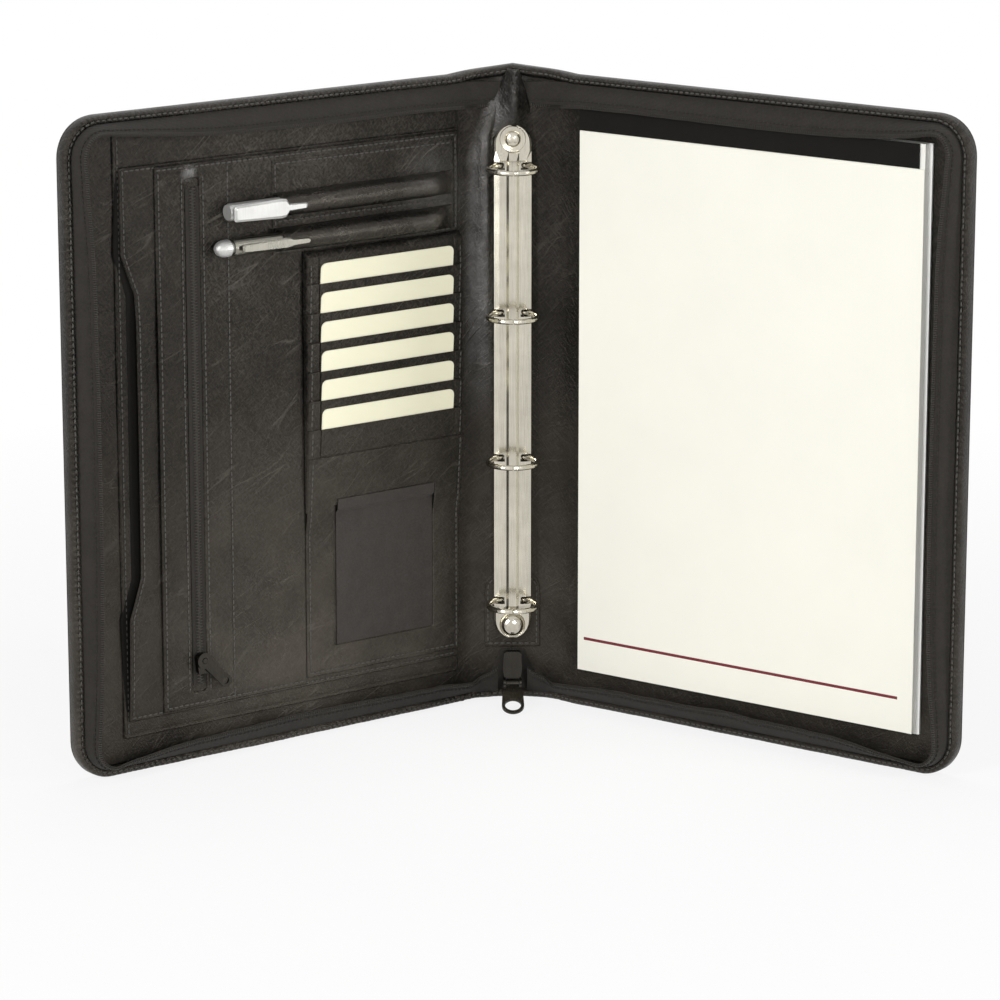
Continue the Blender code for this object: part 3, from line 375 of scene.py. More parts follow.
class Nodes:
    """Shorthand for building a node material."""

    def __init__(self, name):
        self.material = bpy.data.materials.new(name)
        self.material.use_nodes = True
        self.tree = self.material.node_tree
        self.shader = self.tree.nodes["Principled BSDF"]
        self.place = self.add("ShaderNodeTexCoord").outputs["Object"]

    def add(self, kind, links=None, **settings):
        node = self.tree.nodes.new(kind)
        for key, value in settings.items():
            if hasattr(node, key):
                setattr(node, key, value)
            else:
                node.inputs[key.replace("_", " ")].default_value = value
        for key, source in (links or {}).items():
            self.tree.links.new(source, node.inputs[key])
        return node

    def noise(self, scale, detail=4.0, roughness=0.55, place=None, output="Fac"):
        return self.add(
            "ShaderNodeTexNoise", {"Vector": place or self.place}, Scale=scale, Detail=detail, Roughness=roughness
        ).outputs[output]

    def stretched(self, size, turn=(0.0, 0.0, 0.0), place=None):
        """Coordinates in which one unit is a box of this size in metres, turned."""
        return self.add(
            "ShaderNodeMapping", {"Vector": place or self.place}, vector_type="TEXTURE", Scale=size, Rotation=turn
        ).outputs["Vector"]

    def ramp(self, source, *stops):
        node = self.add("ShaderNodeValToRGB", {"Fac": source})
        elements = node.color_ramp.elements
        while len(elements) < len(stops):
            elements.new(0.5)
        for element, (at, value) in zip(elements, stops):
            element.position = at
            element.color = (*value, 1.0) if hasattr(value, "__len__") else (value, value, value, 1.0)
        return node.outputs["Color"]

    def give(self, socket, value):
        """Links another node's output to a socket, or sets its plain value."""
        if hasattr(value, "links"):
            self.tree.links.new(value, socket)
        else:
            socket.default_value = value

    def maths(self, operation, a, b):
        node = self.add("ShaderNodeMath", operation=operation)
        self.give(node.inputs[0], a)
        self.give(node.inputs[1], b)
        return node.outputs["Value"]

    def bump(self, height, strength, reach):
        return self.add("ShaderNodeBump", {"Height": height}, Strength=strength, Distance=reach).outputs["Normal"]

    def mix(self, share, base, colour):
        """The base where the share is 0, and a plain colour where it is 1."""
        node = self.add("ShaderNodeMix", {"Factor": share, 6: base}, data_type="RGBA")
        node.inputs[7].default_value = (*colour, 1.0)
        return node.outputs[2]

    def times(self, *factors):
        total = factors[0]
        for factor in factors[1:]:
            total = self.maths("MULTIPLY", total, factor)
        return total

    def set(self, **values):
        for key, value in values.items():
            self.give(self.shader.inputs[key.replace("_", " ")], value)
        return self.material


# Span in metres of the painted shade and sheen on the leather, and colour of its worn ridges, part painted highlight
PAINTED_SHADE_SPAN = 0.47
WORN_AND_HIGHLIGHT_COLOUR = (0.118, 0.107, 0.093)


def grain(n):
    """Height of the grain: fine crossed hatching, in patches, and thin slanting creases."""
    drift = n.add("ShaderNodeVectorMath", {0: n.noise(60.0, 2.0, output="Color")}, operation="SCALE", Scale=0.003)
    moved = n.add("ShaderNodeVectorMath", {0: n.place, 1: drift.outputs["Vector"]}, operation="ADD").outputs["Vector"]

    def hatch(turn):
        streak = n.noise(1.0, 3.0, 0.5, n.stretched((0.0008, 0.0015, 0.009), (0.0, turn, 0.0), moved))
        return n.ramp(streak, (0.48, 0.0), (0.72, 1.0))

    def creases(turn):
        fold = n.noise(1.0, 1.0, 0.5, n.stretched((0.008, 0.15, 0.070), (0.0, turn, 0.0)))
        thin = n.ramp(n.maths("ABSOLUTE", n.maths("SUBTRACT", fold, 0.5), 0.0), (0.0, 1.0), (0.020, 0.0))
        where = n.noise(70.0, 2.0, 0.5, n.stretched((1.0, 5.0, 1.4), (0.0, turn, 0.0)))
        return n.times(thin, n.ramp(where, (0.52, 0.0), (0.66, 1.0)))

    crossed = n.times(n.maths("MAXIMUM", hatch(0.85), hatch(-0.6)), 0.30)
    fine = n.maths("ADD", crossed, n.times(n.noise(800.0, 3.0, 0.7), 0.75))
    fine = n.times(fine, n.ramp(n.noise(34.0, 3.0), (0.36, 0.80), (0.62, 1.02)))
    return n.maths("ADD", fine, n.times(n.maths("MAXIMUM", creases(1.1), creases(0.7)), 0.44))


def painted_light_and_wear(n, spot):
    """Painted shade and sheen over the case's width and height, and share of worn ridges, part painted highlight."""
    up = n.times(spot["Z"], 1 / (TALL * MM))
    across = n.maths("ADD", n.times(spot["X"], 1 / PAINTED_SHADE_SPAN), 0.5)
    # Darker and lighter zones of the leather's colour: painted shade and sheen.
    painted_shade_and_sheen = n.times(
        n.ramp(across, (0.05, 0.75), (0.085, 0.62), (0.11, 0.36), (0.18, 1.0), (0.39, 1.0), (0.43, 0.40), (0.47, 0.58),
               (0.51, 0.55), (0.80, 0.45)),
        n.ramp(up, (0.10, 0.84), (0.34, 0.56), (0.58, 0.02), (0.85, 0.06)),
    )
    # Share of lightened worn ridges over the case: part wear, part painted highlight.
    ridge_wear_and_highlight = n.times(
        n.ramp(across, (0.05, 0.56), (0.11, 0.60), (0.18, 1.0), (0.39, 1.0), (0.45, 0.60), (0.51, 0.52), (0.62, 0.32),
               (0.80, 0.45)),
        n.ramp(up, (0.10, 0.62), (0.34, 0.56), (0.58, 0.50), (0.85, 0.88)),
    )
    return painted_shade_and_sheen, ridge_wear_and_highlight


def polish(n, spot):
    """1 where hands rub: the ridge behind the rings, the head of the pocket zip and the ends of the pen sleeves."""
    cloud = n.ramp(n.noise(110.0, 3.0), (0.32, 0.35), (0.62, 1.0))

    def near(point, full, gone):
        """1 within a distance in millimetres of a point of the left cover, falling to 0 at another."""
        gap = n.add("ShaderNodeVectorMath", {0: n.place}, operation="DISTANCE")
        gap.inputs[1].default_value = bent([point], LEFT)[0] * MM
        return n.ramp(n.times(gap.outputs["Value"], 20.0), (full * 0.02, 1.0), (gone * 0.02, 0.0))

    rise = n.add("ShaderNodeMapRange", {"Value": spot["Z"]}, From_Min=0.300, From_Max=0.345).outputs["Result"]
    middle = n.times(n.maths("SUBTRACT", rise, 1.0), 0.0165)
    away = n.maths("ABSOLUTE", n.maths("SUBTRACT", spot["X"], middle), 0.0)
    strip = n.ramp(n.times(away, 50.0), (0.10, 1.0), (0.52, 0.0))
    part = n.ramp(n.times(spot["Z"], 1 / (TALL * MM)), (0.45, 0.0), (0.64, 1.0), (0.97, 1.0), (1.0, 0.5))
    ridge = n.times(strip, part, cloud)
    tuck = near((HALF + ZIP_U + 2.0, FRONT + 2.0, ZIP_HIGH + 2.6), 2.0, 5.5)
    ends = n.times(near((HALF + 26.0, 9.0, 286.0), 11.0, 30.0), cloud, 0.6)
    return n.maths("MAXIMUM", n.maths("MAXIMUM", ridge, tuck), ends)


def leather(name, dark, light, worn_and_highlight, relief, shine, gloss, rubbed):
    """Black-brown calf leather."""
    n = Nodes(name)
    raised = grain(n)
    spot = n.add("ShaderNodeSeparateXYZ", {"Vector": n.place}).outputs
    painted_shade_and_sheen, ridge_wear_and_highlight = painted_light_and_wear(n, spot)
    dye = n.ramp(n.noise(38.0, 4.0), (0.35, dark), (0.72, light))
    # The dye made darker and lighter over the case: painted shade and sheen.
    base = n.add("ShaderNodeVectorMath", {0: dye, "Scale": painted_shade_and_sheen}, operation="SCALE").outputs["Vector"]
    # Raised grain lightened towards the worn colour: part wear, part painted highlight.
    bare_and_highlight = n.times(n.ramp(raised, (0.30, 0.0), (0.95, worn_and_highlight)), ridge_wear_and_highlight)
    normal = n.bump(n.maths("ADD", raised, n.times(n.noise(26.0, 2.0), 5.0)), relief, 0.0005)
    return n.set(
        Base_Color=n.mix(bare_and_highlight, base, WORN_AND_HIGHLIGHT_COLOUR), Normal=normal,
        Roughness=n.ramp(n.noise(40.0, 5.0), (0.3, shine), (0.72, shine + 0.2)),
        Specular_Tint=(1.0, 0.90, 0.78, 1.0), Specular_IOR_Level=gloss,
        Coat_Weight=n.times(polish(n, spot), rubbed), Coat_Roughness=0.30, Coat_IOR=1.8, Coat_Normal=normal,
        Coat_Tint=(1.0, 0.95, 0.9, 1.0),
    )


def fabric(name, dark, light, scale, gloss=0.2):
    """Woven tape: two crossing sets of threads."""
    n = Nodes(name)
    warp = n.add("ShaderNodeTexWave", {"Vector": n.place}, bands_direction="Z", Scale=scale, Distortion=0.6)
    weft = n.add("ShaderNodeTexWave", {"Vector": n.place}, bands_direction="X", Scale=scale, Distortion=0.6)
    weave = n.maths("MAXIMUM", warp.outputs["Fac"], weft.outputs["Fac"])
    fuzz = n.maths("ADD", n.times(n.noise(900.0, 3.0), 0.6), n.times(n.noise(130.0, 4.0), 0.4))
    colour = n.ramp(n.times(weave, fuzz), (0.1, dark), (0.75, light))
    normal = n.bump(weave, 0.5, 0.00025)
    return n.set(Base_Color=colour, Roughness=0.82, Normal=normal, Specular_IOR_Level=gloss, Sheen_Weight=0.06)


def metal(name, colour, rough, marks=0.06, metallic=1.0, gloss=0.5):
    """Plated metal: faint brush marks and clouded polish."""
    n = Nodes(name)
    pale = tuple(min(1.0, c * 1.06) for c in colour)
    deep = tuple(c * 0.8 for c in colour)
    cloud = n.noise(60.0, 4.0)
    hair = n.noise(1.0, 3.0, 0.6, n.stretched((0.0004, 0.0004, 0.016)))
    dull = n.maths("ADD", n.times(cloud, 0.6), n.times(hair, 0.4))
    streak = n.maths("ADD", n.times(cloud, 0.5), n.times(hair, 0.5))
    return n.set(
        Base_Color=n.ramp(streak, (0.36, deep), (0.64, pale)), Metallic=metallic, Specular_IOR_Level=gloss,
        Roughness=n.ramp(dull, (0.3, rough * 0.75), (0.75, rough * 1.35)), Normal=n.bump(hair, marks, 0.00008),
    )


def paper_skin(n, colour):
    """Colour and normal of uncoated paper or card: fibres and very slight clouding."""
    deep = tuple(c * 0.975 for c in colour)
    fibre = n.noise(1.0, 4.0, 0.65, n.stretched((0.0006, 0.0006, 0.0014), (0.0, 0.4, 0.0)))
    return n.ramp(n.noise(25.0, 4.0), (0.3, deep), (0.7, colour)), n.bump(fibre, 0.12, 0.0001)


def paper(name, colour, rough):
    """Plain paper, card or board."""
    n = Nodes(name)
    clouded, normal = paper_skin(n, colour)
    return n.set(Base_Color=clouded, Roughness=rough, Normal=normal)


def stacked_paper(name, colour):
    """The pad's block: sheet edges show as fine lines across its thickness."""
    n = Nodes(name)
    edge = n.noise(1.0, 2.0, 0.5, n.stretched((0.0002, 0.0002, 0.11)))
    deep = tuple(c * 0.92 for c in colour)
    normal = n.bump(edge, 0.3, 0.0002)
    return n.set(Base_Color=n.ramp(edge, (0.35, deep), (0.6, colour)), Roughness=0.8, Normal=normal)


def ruled_paper(name, colour, ink):
    """Top sheet with one plain ruled line near its foot."""
    n = Nodes(name)
    spot = n.add("ShaderNodeSeparateXYZ", {"Vector": n.place}).outputs
    across = n.maths("ADD", n.times(n.maths("SUBTRACT", spot["X"], HALF * MM), math.cos(OPEN)),
                     n.times(spot["Y"], -math.sin(OPEN)))

    def within(value, middle, reach):
        return n.maths("LESS_THAN", n.maths("ABSOLUTE", n.maths("SUBTRACT", value, middle), 0.0), reach)

    line = n.times(within(spot["Z"], RULE_Z, RULE_THIN), within(across, RULE_U, RULE_HALF))
    clouded, normal = paper_skin(n, colour)
    return n.set(Base_Color=n.mix(line, clouded, ink), Roughness=0.75, Normal=normal)


# Leather: darkest and lightest tone, worn ridges with painted highlight, relief, roughness, gloss, and how much of it
# hands have rubbed
OUTER = leather("outer_leather", (0.027, 0.0234, 0.0190), (0.056, 0.0486, 0.0396), 0.60, 1.0, 0.26, 0.28, 0.0)
INNER = leather("inner_leather", (0.038, 0.0331, 0.0270), (0.081, 0.0707, 0.0576), 0.95, 0.90, 0.26, 0.20, 1.0)
SLEEVE = leather("pen_sleeve_leather", (0.038, 0.0331, 0.0270), (0.081, 0.0707, 0.0576), 0.60, 0.70, 0.20, 0.42, 1.0)
THREAD = fabric("dark_thread", (0.050, 0.047, 0.042), (0.17, 0.161, 0.147), 1800.0)
TAPE = fabric("zip_tape_weave", (0.015, 0.0131, 0.0110), (0.047, 0.0416, 0.0352), 520.0)
COIL = metal("zip_coil_nylon", (0.052, 0.047, 0.040), 0.50, 0.05, 0.0, 0.2)
NICKEL = metal("bright_nickel_plate", (0.60, 0.565, 0.475), 0.19)
SILVER = metal("satin_silver_plate", (0.55, 0.548, 0.532), 0.36, 0.06, 0.6)
STEEL = metal("brushed_pen_steel", (0.275, 0.265, 0.228), 0.30)
DARK_METAL = metal("black_nickel_plate", (0.048, 0.044, 0.038), 0.26)
BOARD = paper("grey_board_stock", (0.30, 0.28, 0.25), 0.9)
CARD = paper("cream_card_stock", (0.93, 0.905, 0.69), 0.6)
PAGE = ruled_paper("cream_top_sheet", (0.965, 0.95, 0.85), (0.16, 0.012, 0.02))
BLOCK = stacked_paper("cream_sheet_block", (0.965, 0.955, 0.89))
WHITE = paper("white_board_stock", (0.93, 0.93, 0.91), 0.7)
BINDING = fabric("black_binding_cloth", (0.0062, 0.0057, 0.0048), (0.013, 0.0121, 0.0102), 900.0, 0.1)
MESH = fabric("window_mesh_weave", (0.031, 0.0268, 0.0240), (0.090, 0.0785, 0.0705), 640.0)


# Edge of the case


def peak(s, z):
    """Rise of the edge towards the middle of the spine, at its head and, less, at its foot."""
    near = np.maximum(0.0, 1 - np.asarray(s) / 38.0) ** 1.15
    return np.where(np.asarray(z) > TALL / 2, 5.0, 2.6) * near


def rim_path(step):
    """Stations round a cover from the middle of the spine: s, z, inward direction, and distance run."""
    line = [(0.0, TALL, 0.0, -1.0), (HALF + WIDE - CORNER, TALL, 0.0, -1.0)]
    for centre, first in ((TALL - CORNER, math.pi / 2), (CORNER, 0.0)):
        for k in range(1, 17):
            a = first - math.pi / 2 * k / 16
            s = HALF + WIDE - CORNER + CORNER * math.cos(a)
            line.append((s, centre + CORNER * math.sin(a), -math.cos(a), -math.sin(a)))
        if first > 0:
            line.append((HALF + WIDE, CORNER, -1.0, 0.0))
    line.append((0.0, 0.0, 0.0, 1.0))
    line = np.array(line)
    run = runs(line[:, :2])
    places = np.linspace(0, run[-1], int(run[-1] / step) + 1)
    s, z, ns, nz = at_runs(places, run, line).T
    size = np.hypot(ns, nz)
    return np.column_stack([s, z, ns / size, nz / size, places])


RIM = ((3.4, -0.75), (1.6, -0.85), (0.5, -0.5), (0.0, 0.5), (0.0, 3.0), (0.1, 5.2), (0.7, 6.6), (1.7, 7.25),
       (2.6, 7.3), (3.5, 7.2), (4.5, 6.5), (5.0, 5.2), (5.0, 2.2), (4.2, 0.6))


def make_rim(side):
    """Turned and stitched leather edge, puckered by its stitches."""
    stations, row = [], []
    path = rim_path(0.83)
    uneven, fine = wave(path[:, :2], 30, 3 + side), wave(path[:, :2], 5, 8 + side)
    for (s, z, ns, nz, run), slow, quick in zip(path, uneven, fine):
        gather = math.exp(-((s / 40.0) ** 2))
        pucker = (0.36 if side == LEFT else 0.20) * math.cos(2 * math.pi * run / STITCH) + (0.30 + gather) * quick
        rise = float(peak(s, z))
        ring = []
        for d, lift in RIM:
            height = max(0.0, (lift - 4.5) / 2.8)
            swell = height * (pucker - (0.25 if abs(d - 2.6) < 0.4 else 0.0)) + 0.22 * slow * (lift > 1)
            out = d - 0.15 * slow * (lift > 1)
            ring.append((s + ns * max(out, 0.0), lift + swell, z + nz * max(out, 0.0) + rise))
        stations.append(ring)
        row.append((s + ns * 2.6, 7.2 + 0.2 * slow, z + nz * 2.6 + rise))
    word = WORDS[side]
    fold(sweep(f"{word}_rim", stations, OUTER, side), side, "black_leather", f"{word}_zip_edge")
    fold(thread(f"{word}_rim_stitches", [row], THREAD, side), side, "black_leather")


# Lean of the zip tape in degrees, and its width, at distances run round each cover from the head of the spine
LEANS = {
    LEFT: ((0, -14, 13), (12, -5, 13.5), (28, 14, 14), (50, 32, 14.5), (120, 32, 14.5), (190, 36, 14), (236, 52, 12),
           (275, 76, 11.5), (312, 58, 11), (352, 42, 12), (430, 38, 12.5), (500, 40, 12.5), (545, 44, 12),
           (583, 60, 11.5), (613, 78, 11.5), (640, 58, 12), (680, 42, 13), (750, 34, 13.5), (820, 38, 13.5),
           (862, 48, 13), (888, 60, 12)),
    RIGHT: ((0, -14, 13), (12, -5, 13.5), (28, 16, 14), (46, 34, 14), (90, 35, 14), (150, 28, 14), (205, 28, 13.5),
            (240, 46, 12.5), (275, 76, 11.5), (305, 62, 12), (345, 42, 13), (430, 38, 13.5), (500, 38, 13.5),
            (545, 42, 13), (585, 64, 12), (613, 78, 11.5), (636, 64, 12), (672, 46, 13), (740, 36, 13.5),
            (820, 40, 13.5), (888, 60, 12)),
}
TAPE_FOOT = (4.3, 5.6)
TAPE_THICK = 0.7


def tape_line(side):
    """Stations round a cover, with the tape's lean and its width at each."""
    path = rim_path(2.0)
    at, slope, wide = zip(*LEANS[side])
    kernel = np.hanning(15) / np.hanning(15).sum()
    angle, width = (
        np.convolve(np.pad(np.interp(path[:, 4], at, values), 7, mode="edge"), kernel, mode="valid")
        for values in (slope, wide)
    )
    angle = np.radians(angle + 3.0 * wave(path[:, :2], 28, 20 + side))
    rise = np.clip((30.0 - path[:, 0]) / 26.0, 0, 1) * (path[:, 1] < TALL / 2)
    width = width + 9.0 * rise * rise
    angle = angle * (1 - 0.62 * rise)
    return path, angle, width


def tape_point(station, angle, width, along, above):
    """Point of the tape, some way from its foot to its free edge and above its middle."""
    s, z, ns, nz, _ = station
    if z > TALL / 2:
        s = s + 0.5 * along * max(0.0, 1 - s / 26.0)
    bow = math.sin(math.pi * min(along / width, 1.0)) * 0.5
    d = TAPE_FOOT[0] + along * math.cos(angle) - (above + bow) * math.sin(angle)
    lift = TAPE_FOOT[1] + along * math.sin(angle) + (above + bow) * math.cos(angle)
    return np.array((s + ns * d, lift, z + nz * d))


def make_tape(side):
    """Zip tape leaning in from the edge, standing up round the corners, with its coil of teeth."""
    path, angles, widths = tape_line(side)
    keep = path[:, 0] > np.where(path[:, 1] > TALL / 2, 3.0, 7.5)
    path, angles, widths = path[keep], angles[keep], widths[keep]
    stations, edge_line = [], []
    shares = (0.0, 0.2, 0.4, 0.6, 0.8, 1.0)
    for station, angle, width in zip(path, angles, widths):
        upper = [tape_point(station, angle, width, width * share, TAPE_THICK / 2) for share in shares]
        lower = [tape_point(station, angle, width, width * share, -TAPE_THICK / 2) for share in reversed(shares)]
        stations.append(upper + lower)
        tip = tape_point(station, angle, width, width - 0.6, TAPE_THICK / 2 + 0.4)
        along = tape_point(station, angle, width, width + 0.4, TAPE_THICK / 2 + 0.4) - tip
        edge_line.append(np.concatenate([tip, along]))
    word = WORDS[side]
    tape = fold(sweep(f"{word}_tape", stations, TAPE, side), side, "zip_tape", f"{word}_zip_tape")
    edge_line = np.array(edge_line)
    lengths = runs(edge_line[:, :3])
    values = at_runs(np.arange(1.0, lengths[-1] - 1.0, 1.2), lengths, edge_line)
    spots, across = values[:, :3], unit(values[:, 3:])
    up = unit(np.cross(np.gradient(spots, axis=0), across))
    up[up[:, 1] < 0] *= -1
    items = [(*value, 2.0, 0.8, 0.85) for value in zip(spots, across, up)]
    coil = fold(beads(f"{word}_coil", items, COIL, side), side, "zip_coil", f"{word}_zip_coil")
    line = spots - 3.2 * across
    seam = fold(thread(f"{word}_tape_stitches", [line], TAPE, side, pitch=2.6), side, "zip_tape")


def cover_outline(inset):
    """Half of the opened case, from the middle of the spine to the fore-edge of a cover."""
    fore, top, radius = HALF + WIDE - inset, TALL - inset, CORNER - inset
    head = [(s, top + float(peak(s, top)), 0) for s in (38.0, 24.0, 12.0, 0.0)]
    return rounded([(0.0, inset, 0), (fore, inset, radius), (fore, top, radius), *head], 12)


def make_skins(side):
    """Outer leather and lining, each running from the middle of the spine round the hinge to the fore-edge."""
    word = WORDS[side]

    def bulge(s, z):
        """The outside swells a little between its edges."""
        d = np.minimum.reduce([HALF + WIDE - s, z, TALL - z])
        gutter = np.exp(-(((s - HALF) / 6.0) ** 2))
        return -1.3 - 1.1 * np.clip(d / 30, 0, 1) + 0.9 * gutter

    skin = panel(f"{word}_outer_skin", cover_outline(0.5), 0, OUTER, side, thick=1.0, cell=6.0, ripple=0.0,
                 seed=4 + side, shape=bulge)
    fold(skin, side, "black_leather", f"{word}_cover_leather", *(["spine_leather"] if side == LEFT else []))

    def swell(s, z):
        """The lining stands up in a soft ridge between the rings and the left hinge, most near its head."""
        head = np.clip((z - 170) / 110, 0, 1) * np.clip((344 - z) / 22, 0, 1)
        crest = 14.0 - 7.0 * np.clip((z - 314) / 24, 0, 1)
        across = np.where(s < crest, (s - crest) / 2.4, (s - crest) / 6.0)
        return LINING + (3.4 if side == LEFT else 1.0) * head * np.exp(-(across**2))

    guides = [[(s, 165), (s, 314), (s - 7, 338)] for s in (10.5, 12, 13.2, 14.4, 15.6, 17, 18.5, 20, 22, 24)]
    lining = panel(f"{word}_lining_skin", cover_outline(5.2), LINING, INNER, side, guides=guides, ripple=0.3,
                   seed=9 + side, shape=swell)
    fold(lining, side, "lining_leather", f"{word}_lining", *(["spine_lining"] if side == LEFT else []))


# Organiser


def below_pens(z):
    """Less than 1 where a pen slides out over a pocket, which must lie flat there."""
    return np.clip((270 - z) / 30, 0.25, 1)


def make_backing():
    """Leather behind all the pockets. Gives the row of stitches along its fore-edge."""
    u = HALF
    outline = box_outline(u + 8.4, u + 223.5, 18, 336, 1.5)
    rows = [[(u + 221, 20), (u + 221, 334)], [(u + 10.5, 20), (u + 221, 20)], [(u + 10.5, 334), (u + 221, 334)]]
    piece = panel("organiser_backing_leather", outline, BACKING, INNER, LEFT, grooves=rows, seed=21)
    sewn(piece, "organiser_backing")
    return [flat_row(rows[0], BACKING + SKIN)]


def make_side_pocket():
    """Pocket with a scooped mouth towards the fore-edge, with painted shadow inside it. Gives its row of stitches."""
    u = HALF
    fore, deep = u + 221, u + 213.5
    scoop = [(fore, 83), (deep, 104), (deep, 253), (fore, 274)]
    outline = rounded([(u + SEAM, 27, 0), (fore, 27, 1), *((s, z, 9) for s, z in scoop), (fore, 319, 1),
                       (u + SEAM, 319, 0)])
    edge = [(u + 12, 29), (fore - 2.2, 29), *((s - 2.2, z) for s, z in scoop), (fore - 2.2, 317), (u + 12, 317)]

    def gape(s, z):
        """The pocket's mouth stands a little open between its ends."""
        free = np.clip((s - u - 199.0) / 20.0, 0, 1) * below_pens(z)
        return SIDE + 4.2 * free * np.clip(np.sin(math.pi * (z - 27) / 292), 0, 1) ** 0.6

    piece = panel("side_pocket_leather", outline, SIDE, INNER, LEFT, grooves=[edge], seed=23, shape=gape)
    sewn(piece, "side_pocket")
    # A black strip laid along the mouth is painted shadow for the inside of the gaping pocket.
    rim = [(fore, 30), *scoop, (fore, 317)]
    wide = (1.5, 3.6, 4.2, 4.2, 3.6, 1.5)
    mouth = [(s - 3.0, z, 0) for s, z in rim] + [(s + w, z, 6) for (s, z), w in zip(rim[::-1], wide)]
    piece = panel("side_pocket_mouth_shadow", rounded(mouth), BACKING + SKIN - 0.4, BINDING, LEFT, thick=0.6, seed=27)
    settle(piece, "left_cover", "black_binding")
    return [draped_row(edge, gape, SKIN)]


def make_front():
    """Front panel, with the slit of the zip pocket. Gives its rows of stitches."""
    u = HALF
    inner, above = u + CARDS_FORE + 0.3, CARDS_HIGH + 0.3
    low, high = FRONT_LOW + 2, FRONT_HIGH - 2
    outline = [(inner, FRONT_LOW), (u + FRONT_FORE, FRONT_LOW), (u + FRONT_FORE, FRONT_HIGH), (u + SEAM, FRONT_HIGH),
               (u + SEAM, above), (inner, above)]
    slit = box_outline(u + ZIP_U - 4.5, u + ZIP_U + 4.5, ZIP_LOW, ZIP_HIGH, 2.0)
    seams = [
        [(u + 112, low), (u + FRONT_FORE - 2, low), (u + FRONT_FORE - 2, high), (u + 11, high)],
        *([(u + ZIP_U + d, ZIP_LOW), (u + ZIP_U + d, ZIP_HIGH)] for d in (-6.5, 6.5)),
        [(u + ZIP_U - 21.5, low), (u + ZIP_U - 21.5, high)],
        [(u + 11.2, CARDS_HIGH + 2), (u + 11.2, high)],
    ]

    def lie(s, z):
        """Lifted a little along its free edge, and drawn up over the head of the zip."""
        free = np.clip((s - u - 187.0) / 13.0, 0, 1) * below_pens(z)
        gap = 1.0 * free * np.clip(np.sin(math.pi * (z - FRONT_LOW) / (FRONT_HIGH - FRONT_LOW)), 0, 1) ** 0.5
        return FRONT + gap + 2.0 * np.exp(-(((s - u - 179.5) / 4.0) ** 2) - ((z - ZIP_HIGH - 2.6) / 3.6) ** 2)

    piece = panel("organiser_front_leather", outline, FRONT, INNER, LEFT, holes=[slit], grooves=seams, ripple=0.28,
                  seed=25, shape=lie)
    sewn(piece, "organiser_front")
    return [draped_row(seam, lie, SKIN) for seam in seams]


def make_organiser():
    """The flat layers of the organiser and the stitches through them."""
    rows = make_backing() + make_side_pocket() + make_front()
    sewn(thread("organiser_stitches", rows, THREAD, LEFT))


def make_pocket_zip():
    """Closed coil zip in the slit of the front panel."""
    u = HALF + ZIP_U
    tapes = []
    for z in np.arange(ZIP_LOW + 4, ZIP_HIGH - 3.9, 4.0):
        half = [(4.2, 5.7), (4.2, 6.0), (2.6, 6.1), (0.25, 6.12)]
        tapes.append([(u + d, lift, z) for d, lift in half] + [(u - d, lift, z) for d, lift in reversed(half)])
    piece = sweep("pocket_zip_tape", tapes, TAPE, LEFT)
    settle(piece, "left_cover", "zip_tape", "pocket_zip_chain")
    items = []
    for k, z in enumerate(np.arange(ZIP_LOW + 5, ZIP_HIGH - 5, 0.8)):
        lean = 0.55 if k % 2 else -0.55
        items.append((np.array([u + lean, 6.35, z]), np.array([1.0, 0, 0]), np.array([0, 1.0, 0]), 2.9, 0.85, 0.8))
    settle(beads("pocket_zip_coil", items, COIL, LEFT), "left_cover", "zip_tape")


def lean_lift(z, mouth):
    """Lift of a leaning card at a height, from that of its slot's mouth."""
    return MOUTH_LIFT + (z - mouth) * math.tan(CARD_LEAN)


